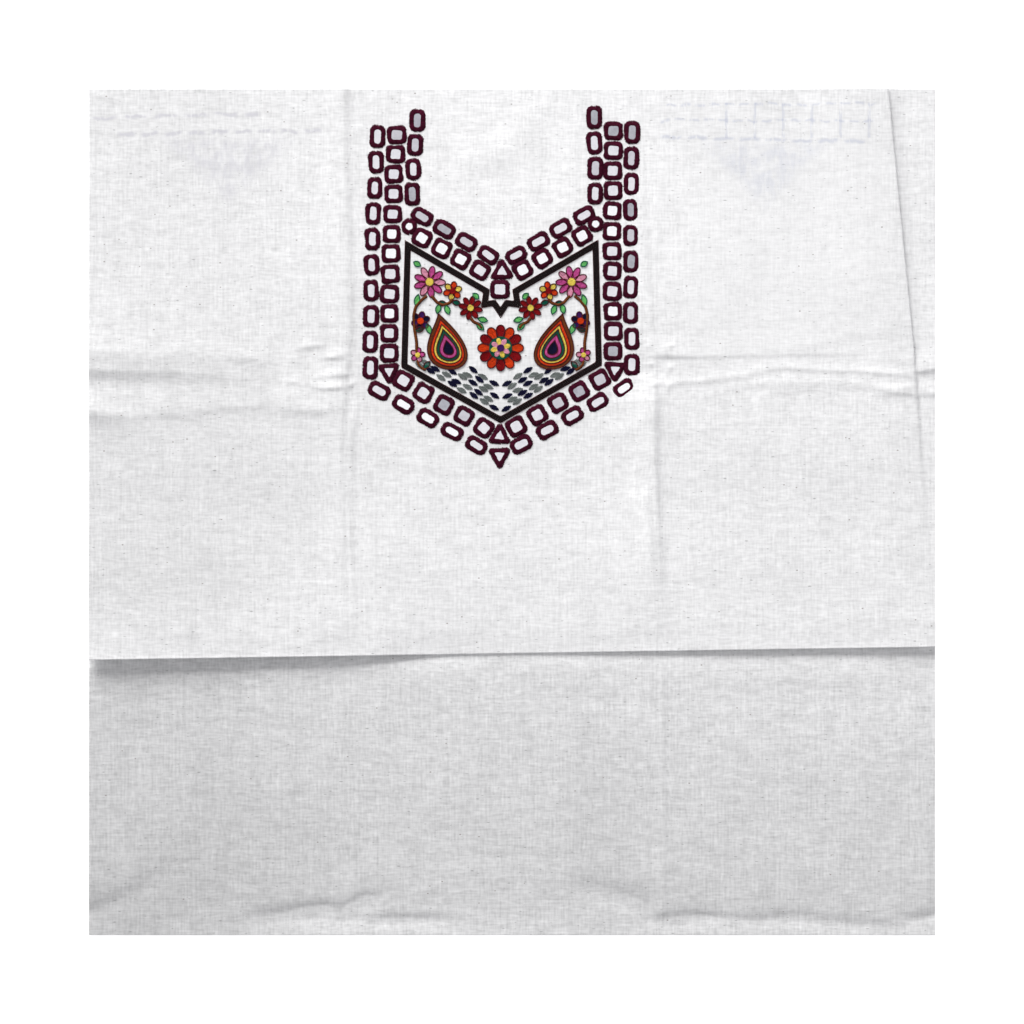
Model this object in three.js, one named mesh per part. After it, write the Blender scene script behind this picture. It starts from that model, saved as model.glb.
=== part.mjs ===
// Mirror work embroidered fabric: one off-white cotton length lying folded, with cut glass mirrors on its yoke.
// Millimetres, +Z up, +Y to the neck of the yoke, origin on the floor under the middle of the cloth.
import * as THREE from 'three';
import { mergeVertices } from 'three/addons/utils/BufferGeometryUtils.js';

const HALF_SIDE = 423;
const CLOTH_THICK = 1.2;
const LAYER_GAP = 0.5;
const PITCH = CLOTH_THICK + LAYER_GAP;
const ARC_STEPS = 4;

// The pleat across: its visible edge runs from side to side and rises off the layer below unevenly.
const ACROSS_Y_LEFT = -148;
const ACROSS_Y_RIGHT = -135;
const ACROSS_UNDERLAP = 70;
const ACROSS_REST = 8;
const ACROSS_RAMP = 40;
const ACROSS_LIFT = [
  { x: -423, rise: 14 },
  { x: -280, rise: 11 },
  { x: -130, rise: 6 },
  { x: -50, rise: 2 * PITCH },
  { x: 20, rise: 2 * PITCH },
  { x: 150, rise: 5.5 },
  { x: 423, rise: 9 },
];

// The slanted pleat at the right: where its edge lies, how far it turns and how much cloth is tucked under it.
const SIDE_PLEAT = [
  { y: -60, edgeX: 418, turnDeg: 3, tuck: 0.5 },
  { y: -8, edgeX: 414, turnDeg: 14, tuck: 0.5 },
  { y: 60, edgeX: 409, turnDeg: 30, tuck: 0.5 },
  { y: 90, edgeX: 407, turnDeg: 50, tuck: 0.5 },
  { y: 118, edgeX: 405, turnDeg: 90, tuck: 0.5 },
  { y: 140, edgeX: 403, turnDeg: 150, tuck: 2 },
  { y: 166, edgeX: 401, turnDeg: 180, tuck: 5 },
  { y: 423, edgeX: 376, turnDeg: 180, tuck: 24 },
];
const SIDE_ARC_LENGTH = Math.PI * PITCH / 2;
const SIDE_START_X = 290;
const SIDE_RAMP = 38;
const SIDE_REST = 12;

// The main creases pressed into the cloth, as soft ridges from one end to the other.
const CREASES = [
  { x1: -423, y1: 124, x2: -172, y2: 116, rise: 4, half: 12 },
  { x1: 152, y1: 132, x2: 398, y2: 149, rise: 4, half: 10 },
  { x1: 144, y1: 116, x2: 156, y2: -120, rise: 2.5, half: 6 },
  { x1: -162, y1: 423, x2: -162, y2: -120, rise: 1.5, half: 5 },
  { x1: -240, y1: -397, x2: 423, y2: -403, rise: 2.5, half: 9 },
];
const CREASE_END_FADE = 14;
const CREASE_LIP_FADE = 30;

// Rows of the woven grid from the neck edge down, before the pleat across, and below it.
const PANEL_ROWS = [423, 350, 270, 200, 162, 150, 141, 132, 124, 116, 107, 94, 60, 4];
const BELOW_ROWS = [-215, -300, -370, -386, -394, -402, -410, -423];
const BELOW_EDGE_ROWS = [38, 8, -14];
const RAMP_STEPS = 3;
const UNDERLAP_STEPS = 4;
const SLANT_FROM = 60;
const SLANT_UNTIL = -245;

// Columns of the woven grid from the left edge to the start of the slanted pleat.
const PANEL_COLUMNS = [
  -423, -360, -290, -225, -180, -170, -162, -154, -146, -90, -20, 60, 118, 136, 144, 152, 160, 172, 225,
  SIDE_START_X,
];
const SIDE_RAMP_STEPS = 6;
const SLIVER_STEPS = 2;

// Cut glass of the yoke.
const GLASS_THICK = 1;
const GLASS_CLEAR = 0.4;
const GLASS_ROUND = 1.2;
const ROUND_STEPS = 2;
const SQUARE_SIDE = 12.4;
const TRIANGLE_BASE = 13.4;
const TRIANGLE_HIGH = 12;
const DISC_RADIUS = 5.2;
const DISC_SIDES = 18;
const LEAN_DEG = 1.1;
const LEAN_TURN_DEG = 137.5;

// Each run lies evenly from one end to the other, bowed sideways at its middle and turned by one angle.
const GLASS_RUNS = [
  { shape: 'square', count: 12, x1: -115.6, y1: 377.5, x2: -123, y2: 158.7, bow: -1.4, turnDeg: 0 },
  { shape: 'square', count: 12, x1: 101.5, y1: 381.2, x2: 101.4, y2: 160.6, bow: -1.2, turnDeg: 0 },
  { shape: 'square', count: 4, x1: -89.8, y1: 274, x2: -32.2, y2: 241.4, bow: 0, turnDeg: -29.5 },
  { shape: 'square', count: 4, x1: 70.2, y1: 276.1, x2: 10.7, y2: 242.4, bow: 0, turnDeg: 29.5 },
  { shape: 'square', count: 1, x1: -11.4, y1: 222.8, x2: -11.4, y2: 222.8, bow: 0, turnDeg: 0 },
  { shape: 'square', count: 5, x1: -108.7, y1: 131, x2: -28.1, y2: 84.4, bow: 0, turnDeg: -30 },
  { shape: 'square', count: 5, x1: 88.2, y1: 132.4, x2: 4.1, y2: 85.5, bow: 0, turnDeg: 30 },
  { shape: 'triangle', count: 2, x1: -123, y1: 140.2, x2: 102.5, y2: 142.2, bow: 0, turnDeg: 180 },
  { shape: 'triangle', count: 2, x1: -10.2, y1: 240.3, x2: -12.2, y2: 75.9, bow: 0, turnDeg: 0 },
  { shape: 'triangle', count: 1, x1: -12.2, y1: 55.9, x2: -12.2, y2: 55.9, bow: 0, turnDeg: 180 },
  { shape: 'disc', count: 2, x1: -102.6, y1: 285.7, x2: 83.7, y2: 287.9, bow: 0, turnDeg: 0 },
];

const CLOTH_COLOUR = 0xeeeef0;
const GLASS_COLOUR = 0xdcdae4;
const CLOTH_ROUGH = 0.9;
const GLASS_ROUGH = 0.08;
const GLASS_METAL = 0.9;

const lerp = THREE.MathUtils.lerp;
const smoothstep = THREE.MathUtils.smoothstep;
const radians = THREE.MathUtils.degToRad;

// Reads a column of a table at a place along its key, in straight lines between the rows.
function readTable(table, key, column, at) {
  const keys = table.map((row) => row[key]);
  if (at <= keys[0]) return table[0][column];
  for (let n = 1; n < table.length; n += 1) {
    if (at > keys[n]) continue;
    const share = (at - keys[n - 1]) / (keys[n] - keys[n - 1]);
    return lerp(table[n - 1][column], table[n][column], share);
  }
  return table[table.length - 1][column];
}

function acrossEdgeY(x) {
  return lerp(ACROSS_Y_LEFT, ACROSS_Y_RIGHT, (x + HALF_SIDE) / (2 * HALF_SIDE));
}

// Height of one pressed crease over a point of the cloth.
function creaseRise(crease, x, y) {
  const along = new THREE.Vector2(crease.x2 - crease.x1, crease.y2 - crease.y1);
  const length = along.length();
  along.divideScalar(length);
  const run = (x - crease.x1) * along.x + (y - crease.y1) * along.y;
  const off = (x - crease.x1) * along.y - (y - crease.y1) * along.x;
  const past = Math.max(0, -run, run - length);
  return crease.rise * Math.exp(-((off / crease.half) ** 2) - ((past / CREASE_END_FADE) ** 2));
}

function creaseHeight(x, y) {
  return CREASES.reduce((sum, crease) => sum + creaseRise(crease, x, y), 0);
}

// One row of the cloth seen from the side: how far it lies from the pleat's edge, how high, and how creased.
// Rows run from the neck edge over the pleat's edge, back under it and out again along the floor.
function acrossRows() {
  const rows = [];
  PANEL_ROWS.forEach((y) => rows.push({ layer: 'panel', y }));
  const climb = ACROSS_UNDERLAP + ACROSS_REST + ACROSS_RAMP;
  for (let n = 0; n <= RAMP_STEPS; n += 1) {
    rows.push({ layer: 'top', off: climb - ACROSS_RAMP * n / RAMP_STEPS });
  }
  for (let n = 0; n < UNDERLAP_STEPS; n += 1) {
    rows.push({ layer: 'top', off: ACROSS_UNDERLAP * (1 - n / UNDERLAP_STEPS) });
  }
  for (let n = 0; n <= ARC_STEPS; n += 1) {
    rows.push({ layer: 'edge', angle: Math.PI * n / ARC_STEPS });
  }
  for (let n = 1; n < UNDERLAP_STEPS; n += 1) {
    rows.push({ layer: 'under', off: ACROSS_UNDERLAP * n / UNDERLAP_STEPS });
  }
  for (let n = 0; n <= ARC_STEPS; n += 1) {
    rows.push({ layer: 'tuck', angle: Math.PI * n / ARC_STEPS });
  }
  BELOW_EDGE_ROWS.forEach((off) => rows.push({ layer: 'floor', off }));
  BELOW_ROWS.forEach((y) => rows.push({ layer: 'below', y }));
  return rows;
}

function slantShare(y) {
  if (y >= 0) return smoothstep(SLANT_FROM - y, 0, SLANT_FROM);
  return 1 - smoothstep(-y, -ACROSS_Y_LEFT, -SLANT_UNTIL);
}

// Where a row lies at a given x: y, height of the middle of the cloth, and the share of the creases it takes.
function acrossPoint(row, x) {
  const edgeY = acrossEdgeY(x);
  const rise = readTable(ACROSS_LIFT, 'x', 'rise', x);
  const radius = PITCH / 2;
  const turnY = edgeY + radius + CLOTH_THICK / 2;
  const slope = (off) => smoothstep(off, 0, ACROSS_UNDERLAP);
  if (row.layer === 'panel' || row.layer === 'below') {
    const y = row.y + (edgeY - acrossEdgeY(0)) * slantShare(row.y);
    return { y, z: 0, crease: 1 };
  }
  if (row.layer === 'top') {
    const settled = ACROSS_UNDERLAP + ACROSS_REST;
    const level = lerp(rise, 2 * PITCH, slope(row.off));
    const z = level * (1 - smoothstep(row.off, settled, settled + ACROSS_RAMP));
    return { y: edgeY + row.off, z, crease: smoothstep(row.off, 0, CREASE_LIP_FADE) };
  }
  if (row.layer === 'edge') {
    const y = turnY - radius * Math.sin(row.angle);
    return { y, z: rise - radius * (1 - Math.cos(row.angle)), crease: 0 };
  }
  if (row.layer === 'under') {
    return { y: edgeY + row.off, z: lerp(rise - PITCH, PITCH, slope(row.off)), crease: 0 };
  }
  if (row.layer === 'tuck') {
    const y = edgeY + ACROSS_UNDERLAP + radius * Math.sin(row.angle);
    return { y, z: PITCH - radius * (1 - Math.cos(row.angle)), crease: 0 };
  }
  return { y: edgeY + row.off, z: 0, crease: 0 };
}

function sideColumns() {
  const columns = PANEL_COLUMNS.map((x) => ({ part: 'panel', x }));
  for (let n = 1; n <= SIDE_RAMP_STEPS; n += 1) columns.push({ part: 'ramp', share: n / SIDE_RAMP_STEPS });
  for (let n = 1; n <= ARC_STEPS; n += 1) columns.push({ part: 'edge', share: n / ARC_STEPS });
  for (let n = 0; n <= ARC_STEPS; n += 1) columns.push({ part: 'tuck', share: n / ARC_STEPS });
  for (let n = 1; n <= SLIVER_STEPS; n += 1) columns.push({ part: 'sliver', share: n / SLIVER_STEPS });
  return columns;
}

// Where a column lies at a given y: x and height, through both turns of the slanted pleat.
function sidePoint(column, y) {
  if (column.part === 'panel') return { x: column.x, z: 0 };
  const edgeX = readTable(SIDE_PLEAT, 'y', 'edgeX', y);
  const turn = radians(readTable(SIDE_PLEAT, 'y', 'turnDeg', y));
  const tuck = readTable(SIDE_PLEAT, 'y', 'tuck', y);
  const radius = SIDE_ARC_LENGTH / turn;
  const drop = 2 * radius * (1 - Math.cos(turn)) + tuck * Math.sin(turn);
  const startX = edgeX - radius * Math.sin(Math.min(turn, Math.PI / 2));
  const endX = startX + 2 * radius * Math.sin(turn) + tuck * Math.cos(turn);
  if (column.part === 'ramp') {
    const x = lerp(SIDE_START_X, startX, column.share);
    const restX = Math.min(startX, endX) - SIDE_REST;
    return { x, z: drop * smoothstep(x, restX - SIDE_RAMP, restX) };
  }
  if (column.part === 'edge') {
    const angle = turn * column.share;
    return { x: startX + radius * Math.sin(angle), z: drop - radius * (1 - Math.cos(angle)) };
  }
  if (column.part === 'tuck') {
    const angle = turn * (1 - column.share);
    return { x: endX - radius * Math.sin(angle), z: radius * (1 - Math.cos(angle)) };
  }
  return { x: lerp(endX, HALF_SIDE, column.share), z: 0 };
}

// Middle surface of the cloth as a grid of points.
function clothGrid() {
  const columns = sideColumns();
  return acrossRows().map((row) => columns.map((column) => {
    const guessX = column.part === 'panel' ? column.x : readTable(SIDE_PLEAT, 'y', 'edgeX', 0);
    const first = acrossPoint(row, guessX);
    const side = sidePoint(column, first.y);
    const across = acrossPoint(row, side.x);
    const crease = across.crease * creaseHeight(side.x, across.y);
    return new THREE.Vector3(side.x, across.y, CLOTH_THICK / 2 + across.z + side.z + crease);
  }));
}

// Direction of the cloth at a point, shared between the two neighbours, with its shortening at a turn.
function bisector(before, at, after) {
  const sum = new THREE.Vector3();
  let sides = 0;
  if (before) {
    sum.add(at.clone().sub(before).normalize());
    sides += 1;
  }
  if (after) {
    sum.add(after.clone().sub(at).normalize());
    sides += 1;
  }
  return { way: sum.clone().normalize(), cosine: sum.length() / sides };
}

// Closes a grid of points into one sheet of even thickness.
function sheetGeometry(grid, thick) {
  const lastRow = grid.length - 1;
  const lastColumn = grid[0].length - 1;
  const wide = lastColumn + 1;
  const upper = [];
  const lower = [];
  grid.forEach((line, i) => line.forEach((point, j) => {
    const down = bisector(i > 0 ? grid[i - 1][j] : null, point, i < lastRow ? grid[i + 1][j] : null);
    const right = bisector(j > 0 ? line[j - 1] : null, point, j < lastColumn ? line[j + 1] : null);
    const normal = down.way.clone().cross(right.way);
    if (j === 0 || j === lastColumn) normal.x = 0;
    if (i === 0 || i === lastRow) normal.y = 0;
    normal.normalize().multiplyScalar(thick / 2 / (down.cosine * right.cosine));
    upper.push(point.clone().add(normal));
    lower.push(point.clone().sub(normal));
  }));
  const positions = [...upper, ...lower].flatMap((p) => [p.x, p.y, p.z]);
  const index = [];
  const quad = (a, b, c, d) => index.push(a, b, c, a, c, d);
  const under = upper.length;
  for (let i = 0; i < lastRow; i += 1) {
    for (let j = 0; j < lastColumn; j += 1) {
      const a = i * wide + j;
      quad(a, a + wide, a + wide + 1, a + 1);
      quad(under + a, under + a + 1, under + a + wide + 1, under + a + wide);
    }
  }
  for (let j = 0; j < lastColumn; j += 1) {
    const end = lastRow * wide + j;
    quad(j, j + 1, under + j + 1, under + j);
    quad(end, under + end, under + end + 1, end + 1);
  }
  for (let i = 0; i < lastRow; i += 1) {
    const left = i * wide;
    const right = left + lastColumn;
    quad(left, under + left, under + left + wide, left + wide);
    quad(right, right + wide, under + right + wide, under + right);
  }
  const geometry = new THREE.BufferGeometry();
  geometry.setAttribute('position', new THREE.Float32BufferAttribute(positions, 3));
  geometry.setIndex(index);
  geometry.computeVertexNormals();
  return geometry;
}

// Outline of a piece of glass with its corners ground round.
function roundedOutline(corners, round) {
  const outline = [];
  corners.forEach((corner, n) => {
    const toBefore = corners[(n + corners.length - 1) % corners.length].clone().sub(corner).normalize();
    const toAfter = corners[(n + 1) % corners.length].clone().sub(corner).normalize();
    const half = toBefore.angleTo(toAfter) / 2;
    const middle = toBefore.clone().add(toAfter).normalize();
    const centre = corner.clone().addScaledVector(middle, round / Math.sin(half));
    const start = corner.clone().addScaledVector(toBefore, round / Math.tan(half)).sub(centre);
    for (let k = 0; k <= ROUND_STEPS; k += 1) {
      const swing = (Math.PI - 2 * half) * k / ROUND_STEPS;
      outline.push(start.clone().rotateAround(new THREE.Vector2(), swing).add(centre));
    }
  });
  return outline;
}

function glassOutline(shape) {
  const half = SQUARE_SIDE / 2;
  if (shape === 'square') {
    const corners = [[-half, -half], [half, -half], [half, half], [-half, half]];
    return roundedOutline(corners.map(([x, y]) => new THREE.Vector2(x, y)), GLASS_ROUND);
  }
  if (shape === 'triangle') {
    const foot = -TRIANGLE_HIGH / 3;
    const corners = [[-TRIANGLE_BASE / 2, foot], [TRIANGLE_BASE / 2, foot], [0, TRIANGLE_HIGH + foot]];
    return roundedOutline(corners.map(([x, y]) => new THREE.Vector2(x, y)), GLASS_ROUND);
  }
  const outline = [];
  for (let k = 0; k < DISC_SIDES; k += 1) {
    const angle = 2 * Math.PI * k / DISC_SIDES;
    outline.push(new THREE.Vector2(Math.cos(angle), Math.sin(angle)).multiplyScalar(DISC_RADIUS));
  }
  return outline;
}

function glassGeometry(shape) {
  const outline = new THREE.Shape(glassOutline(shape));
  const raw = new THREE.ExtrudeGeometry(outline, { depth: GLASS_THICK, bevelEnabled: false });
  raw.deleteAttribute('normal');
  raw.deleteAttribute('uv');
  const geometry = mergeVertices(raw, 1e-4);
  geometry.translate(0, 0, -GLASS_THICK / 2);
  return geometry;
}

// Lays one piece of glass on the yoke with a slight lean of its own.
function placeGlass(geometry, run, n, serial) {
  const share = run.count > 1 ? n / (run.count - 1) : 0;
  const bow = run.bow * Math.sin(Math.PI * share);
  const swing = radians(LEAN_TURN_DEG * serial);
  const lean = new THREE.Euler(
    radians(LEAN_DEG * Math.cos(swing)),
    radians(LEAN_DEG * Math.sin(swing)),
    radians(run.turnDeg),
  );
  geometry.applyMatrix4(new THREE.Matrix4().makeRotationFromEuler(lean));
  geometry.translate(
    lerp(run.x1, run.x2, share) + bow,
    lerp(run.y1, run.y2, share),
    CLOTH_THICK + GLASS_CLEAR + GLASS_THICK / 2,
  );
  geometry.computeVertexNormals();
  return geometry;
}

const fabricGroup = new THREE.Group();
fabricGroup.name = 'mirror_work_fabric';

const cloth = new THREE.Mesh(
  sheetGeometry(clothGrid(), CLOTH_THICK),
  new THREE.MeshStandardMaterial({ color: CLOTH_COLOUR, roughness: CLOTH_ROUGH }),
);
cloth.name = 'fabric';
fabricGroup.add(cloth);

const tally = {};
let serial = 0;
GLASS_RUNS.forEach((run) => {
  for (let n = 0; n < run.count; n += 1) {
    tally[run.shape] = (tally[run.shape] || 0) + 1;
    serial += 1;
    const mirror = new THREE.Mesh(
      placeGlass(glassGeometry(run.shape), run, n, serial),
      new THREE.MeshStandardMaterial({ color: GLASS_COLOUR, roughness: GLASS_ROUGH, metalness: GLASS_METAL }),
    );
    mirror.name = `mirror_${run.shape}_${String(tally[run.shape]).padStart(2, '0')}`;
    fabricGroup.add(mirror);
  }
});

export default fabricGroup;
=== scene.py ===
# %% [markdown]
# # A folded length of mirror work cloth
#
# The real object is an off-white cotton length for the front of a tunic. Its yoke carries small cut
# mirrors, each held by a ring of dark wine satin stitches, round a panel of coloured embroidery inside a
# black band. It lies on a table in two pleats, one right across and one slanted at the right.
#
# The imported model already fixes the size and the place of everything, so this lesson only adds what an
# engineer's solid leaves out: fine creases, weave, thread and light.

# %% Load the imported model
import math

import bpy
import numpy as np
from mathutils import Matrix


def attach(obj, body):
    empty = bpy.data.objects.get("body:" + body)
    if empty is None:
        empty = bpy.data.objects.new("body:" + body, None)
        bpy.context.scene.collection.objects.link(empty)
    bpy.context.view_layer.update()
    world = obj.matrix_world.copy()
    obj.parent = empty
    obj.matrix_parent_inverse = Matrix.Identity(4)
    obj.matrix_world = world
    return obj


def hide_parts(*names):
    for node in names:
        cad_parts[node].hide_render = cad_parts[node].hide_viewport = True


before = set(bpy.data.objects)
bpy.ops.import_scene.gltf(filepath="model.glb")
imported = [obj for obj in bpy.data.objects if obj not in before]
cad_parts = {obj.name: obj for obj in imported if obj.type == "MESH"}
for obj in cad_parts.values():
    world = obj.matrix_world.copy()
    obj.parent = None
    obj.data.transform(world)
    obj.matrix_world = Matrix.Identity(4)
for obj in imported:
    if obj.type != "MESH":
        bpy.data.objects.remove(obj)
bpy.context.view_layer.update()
MM = 0.001
chance = np.random.default_rng(20)

# %% [markdown]
# ## Tables and smooth steps
#
# A cloth that lies in folds is easier to describe by a few measured places than by points. Each table
# below has named columns, and `read` looks a value up between its rows. All lengths are millimetres
# until the mesh is written, because that is how a maker would measure the cloth.
# Two more helpers are for directions: `unit` gives them length one, and `left_of` turns them to the left.

# %% Read a table between its rows
def read(table, key, column, at):
    keys = [row[key] for row in table]
    values = [row[column] for row in table]
    return np.interp(at, keys, values)


def smooth(value, low, high):
    share = np.clip((value - low) / (high - low), 0, 1)
    return share * share * (3 - 2 * share)


def blend(low, high, share):
    return low + (high - low) * share


def unit(ways):
    """The same directions, each of length one."""
    return ways / np.maximum(np.linalg.norm(ways, axis=-1, keepdims=True), 1e-9)


def left_of(ways):
    """Directions in the plane, each turned a quarter to the left."""
    return np.stack([-ways[:, 1], ways[:, 0]], -1)


print("halfway along a smooth step is", smooth(5, 0, 10))

# %% [markdown]
# ## The two pleats
#
# The pleat across is a knife pleat: the cloth runs down to a visible edge, turns back under itself and
# turns out again along the table. Its edge stands highest at the left, lies flat in the middle and lifts
# again at the right. The slanted pleat at the right is the same turn, wide at the top and dying out
# halfway down.
#
# It could be made by simulating a cloth, but a simulation won't fall into the same two edges every time.
# Here the path of the cloth is worked out as two arcs with straight runs between, the same as in the
# solid.

# %% Sizes of the pleats
HALF_SIDE = 423
CLOTH_THICK = 0.8
PITCH = 1.0
ACROSS_EDGE = [dict(x=-423, y=-148), dict(x=423, y=-135)]
ACROSS_UNDERLAP = 70
ACROSS_REST = 8
ACROSS_RAMP = 90
ACROSS_LIFT = [
    dict(x=-423, rise=11.6), dict(x=-400, rise=13), dict(x=-330, rise=11.6), dict(x=-280, rise=11),
    dict(x=-210, rise=9.8), dict(x=-130, rise=6.6), dict(x=-90, rise=3.2), dict(x=-55, rise=1.8),
    dict(x=10, rise=1.8), dict(x=150, rise=3.9), dict(x=423, rise=6.9),
]
SIDE_PLEAT = [
    dict(y=-60, edge=418, turn=3, tuck=0.3, pitch=2.3),
    dict(y=-8, edge=414, turn=12, tuck=0.3, pitch=2.3),
    dict(y=60, edge=409, turn=26, tuck=0.3, pitch=2.3),
    dict(y=90, edge=407, turn=34, tuck=0.3, pitch=2.3),
    dict(y=118, edge=405, turn=38, tuck=0.3, pitch=2.4),
    dict(y=146, edge=403, turn=48, tuck=0.3, pitch=2.4),
    dict(y=158, edge=402, turn=90, tuck=0.3, pitch=1.7),
    dict(y=164, edge=401.5, turn=135, tuck=0.3, pitch=1.6),
    dict(y=170, edge=401, turn=180, tuck=0.3, pitch=2.0),
    dict(y=230, edge=395, turn=180, tuck=8, pitch=2.9),
    dict(y=300, edge=388, turn=180, tuck=16, pitch=3.4),
    dict(y=423, edge=376, turn=180, tuck=24, pitch=3.6),
]
SIDE_START = 290
SIDE_RAMP = 62
SIDE_REST = 12
SIDE_CLEAR = 0.95
SIDE_SWELL_RUN = 13
SLIVER_START = 0.6
ABOVE_FADE = 60
BELOW_FADE = (148, 245)
print("pleat layers are", PITCH, "mm apart")


# %% One row of the cloth, seen from the side
def settled(off, run):
    """How far the propped edge has come down, 0 at the edge and 1 where the layer lies flat."""
    return math.sin(math.pi / 2 * min(max(off / run, 0), 1))


def across_row(row, x):
    """Where a row lies at x: its y, its height and its share of the creases."""
    edge = read(ACROSS_EDGE, "x", "y", x)
    rise = read(ACROSS_LIFT, "x", "rise", x)
    radius = PITCH / 2
    kind, place = row
    if kind in ("panel", "below"):
        tilt = edge - read(ACROSS_EDGE, "x", "y", 0)
        near = smooth(ABOVE_FADE - place, 0, ABOVE_FADE) if place >= 0 else 1 - smooth(-place, *BELOW_FADE)
        return place + tilt * near, 0 * x, 1 + 0 * x
    if kind == "top":
        flat = ACROSS_UNDERLAP + ACROSS_REST
        doubled = 2 * PITCH * (1 - smooth(place, flat, flat + ACROSS_RAMP))
        height = doubled + (rise - 2 * PITCH) * (1 - settled(place, flat + ACROSS_RAMP))
        return edge + place, height, smooth(place, 0, 30) + 0 * x
    if kind == "edge":
        turn_y = edge + radius + CLOTH_THICK / 2
        return turn_y - radius * math.sin(place), rise - radius * (1 - math.cos(place)), 0 * x
    if kind == "under":
        return edge + place, blend(rise - PITCH, PITCH, settled(place, ACROSS_UNDERLAP)), 0 * x
    if kind == "tuck":
        tuck_y = edge + ACROSS_UNDERLAP + radius * math.sin(place)
        return tuck_y, PITCH - radius * (1 - math.cos(place)) + 0 * x, 0 * x
    return edge + place, 0 * x, 1 - smooth(place, -14, 0) + 0 * x


# %% One column of the cloth, through the slanted pleat
def side_column(kind, share, y):
    """Where a column lies at y: its x and its height."""
    if kind == "panel":
        return share + 0 * y, 0 * y
    edge = read(SIDE_PLEAT, "y", "edge", y)
    turn = np.radians(read(SIDE_PLEAT, "y", "turn", y))
    tuck = read(SIDE_PLEAT, "y", "tuck", y)
    pitch = read(SIDE_PLEAT, "y", "pitch", y)
    radius = math.pi / 2 * pitch / turn
    drop = 2 * radius * (1 - np.cos(turn)) + tuck * np.sin(turn)
    start = edge - radius * np.sin(np.minimum(turn, math.pi / 2))
    end = start + 2 * radius * np.sin(turn) + tuck * np.cos(turn)
    if kind == "ramp":
        x = blend(SIDE_START, start, share)
        rest = np.minimum(start, end) - SIDE_REST
        return x, drop * smooth(x, rest - SIDE_RAMP, rest)
    if kind == "edge":
        return start + radius * np.sin(turn * share), drop - radius * (1 - np.cos(turn * share))
    if kind == "tuck":
        angle = turn * (1 - share)
        return end - radius * np.sin(angle), radius * (1 - np.cos(angle))
    knee = np.maximum(edge, end + SLIVER_START)
    x = blend(end, knee, share) if share <= 1 else blend(knee, HALF_SIDE, (share - 1) ** 1.5)
    swell = (pitch - SIDE_CLEAR) * smooth(turn, math.pi / 2, math.pi) * smooth(x, end, knee)
    return x, swell * (1 - smooth(x, knee, knee + SIDE_SWELL_RUN))
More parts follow.
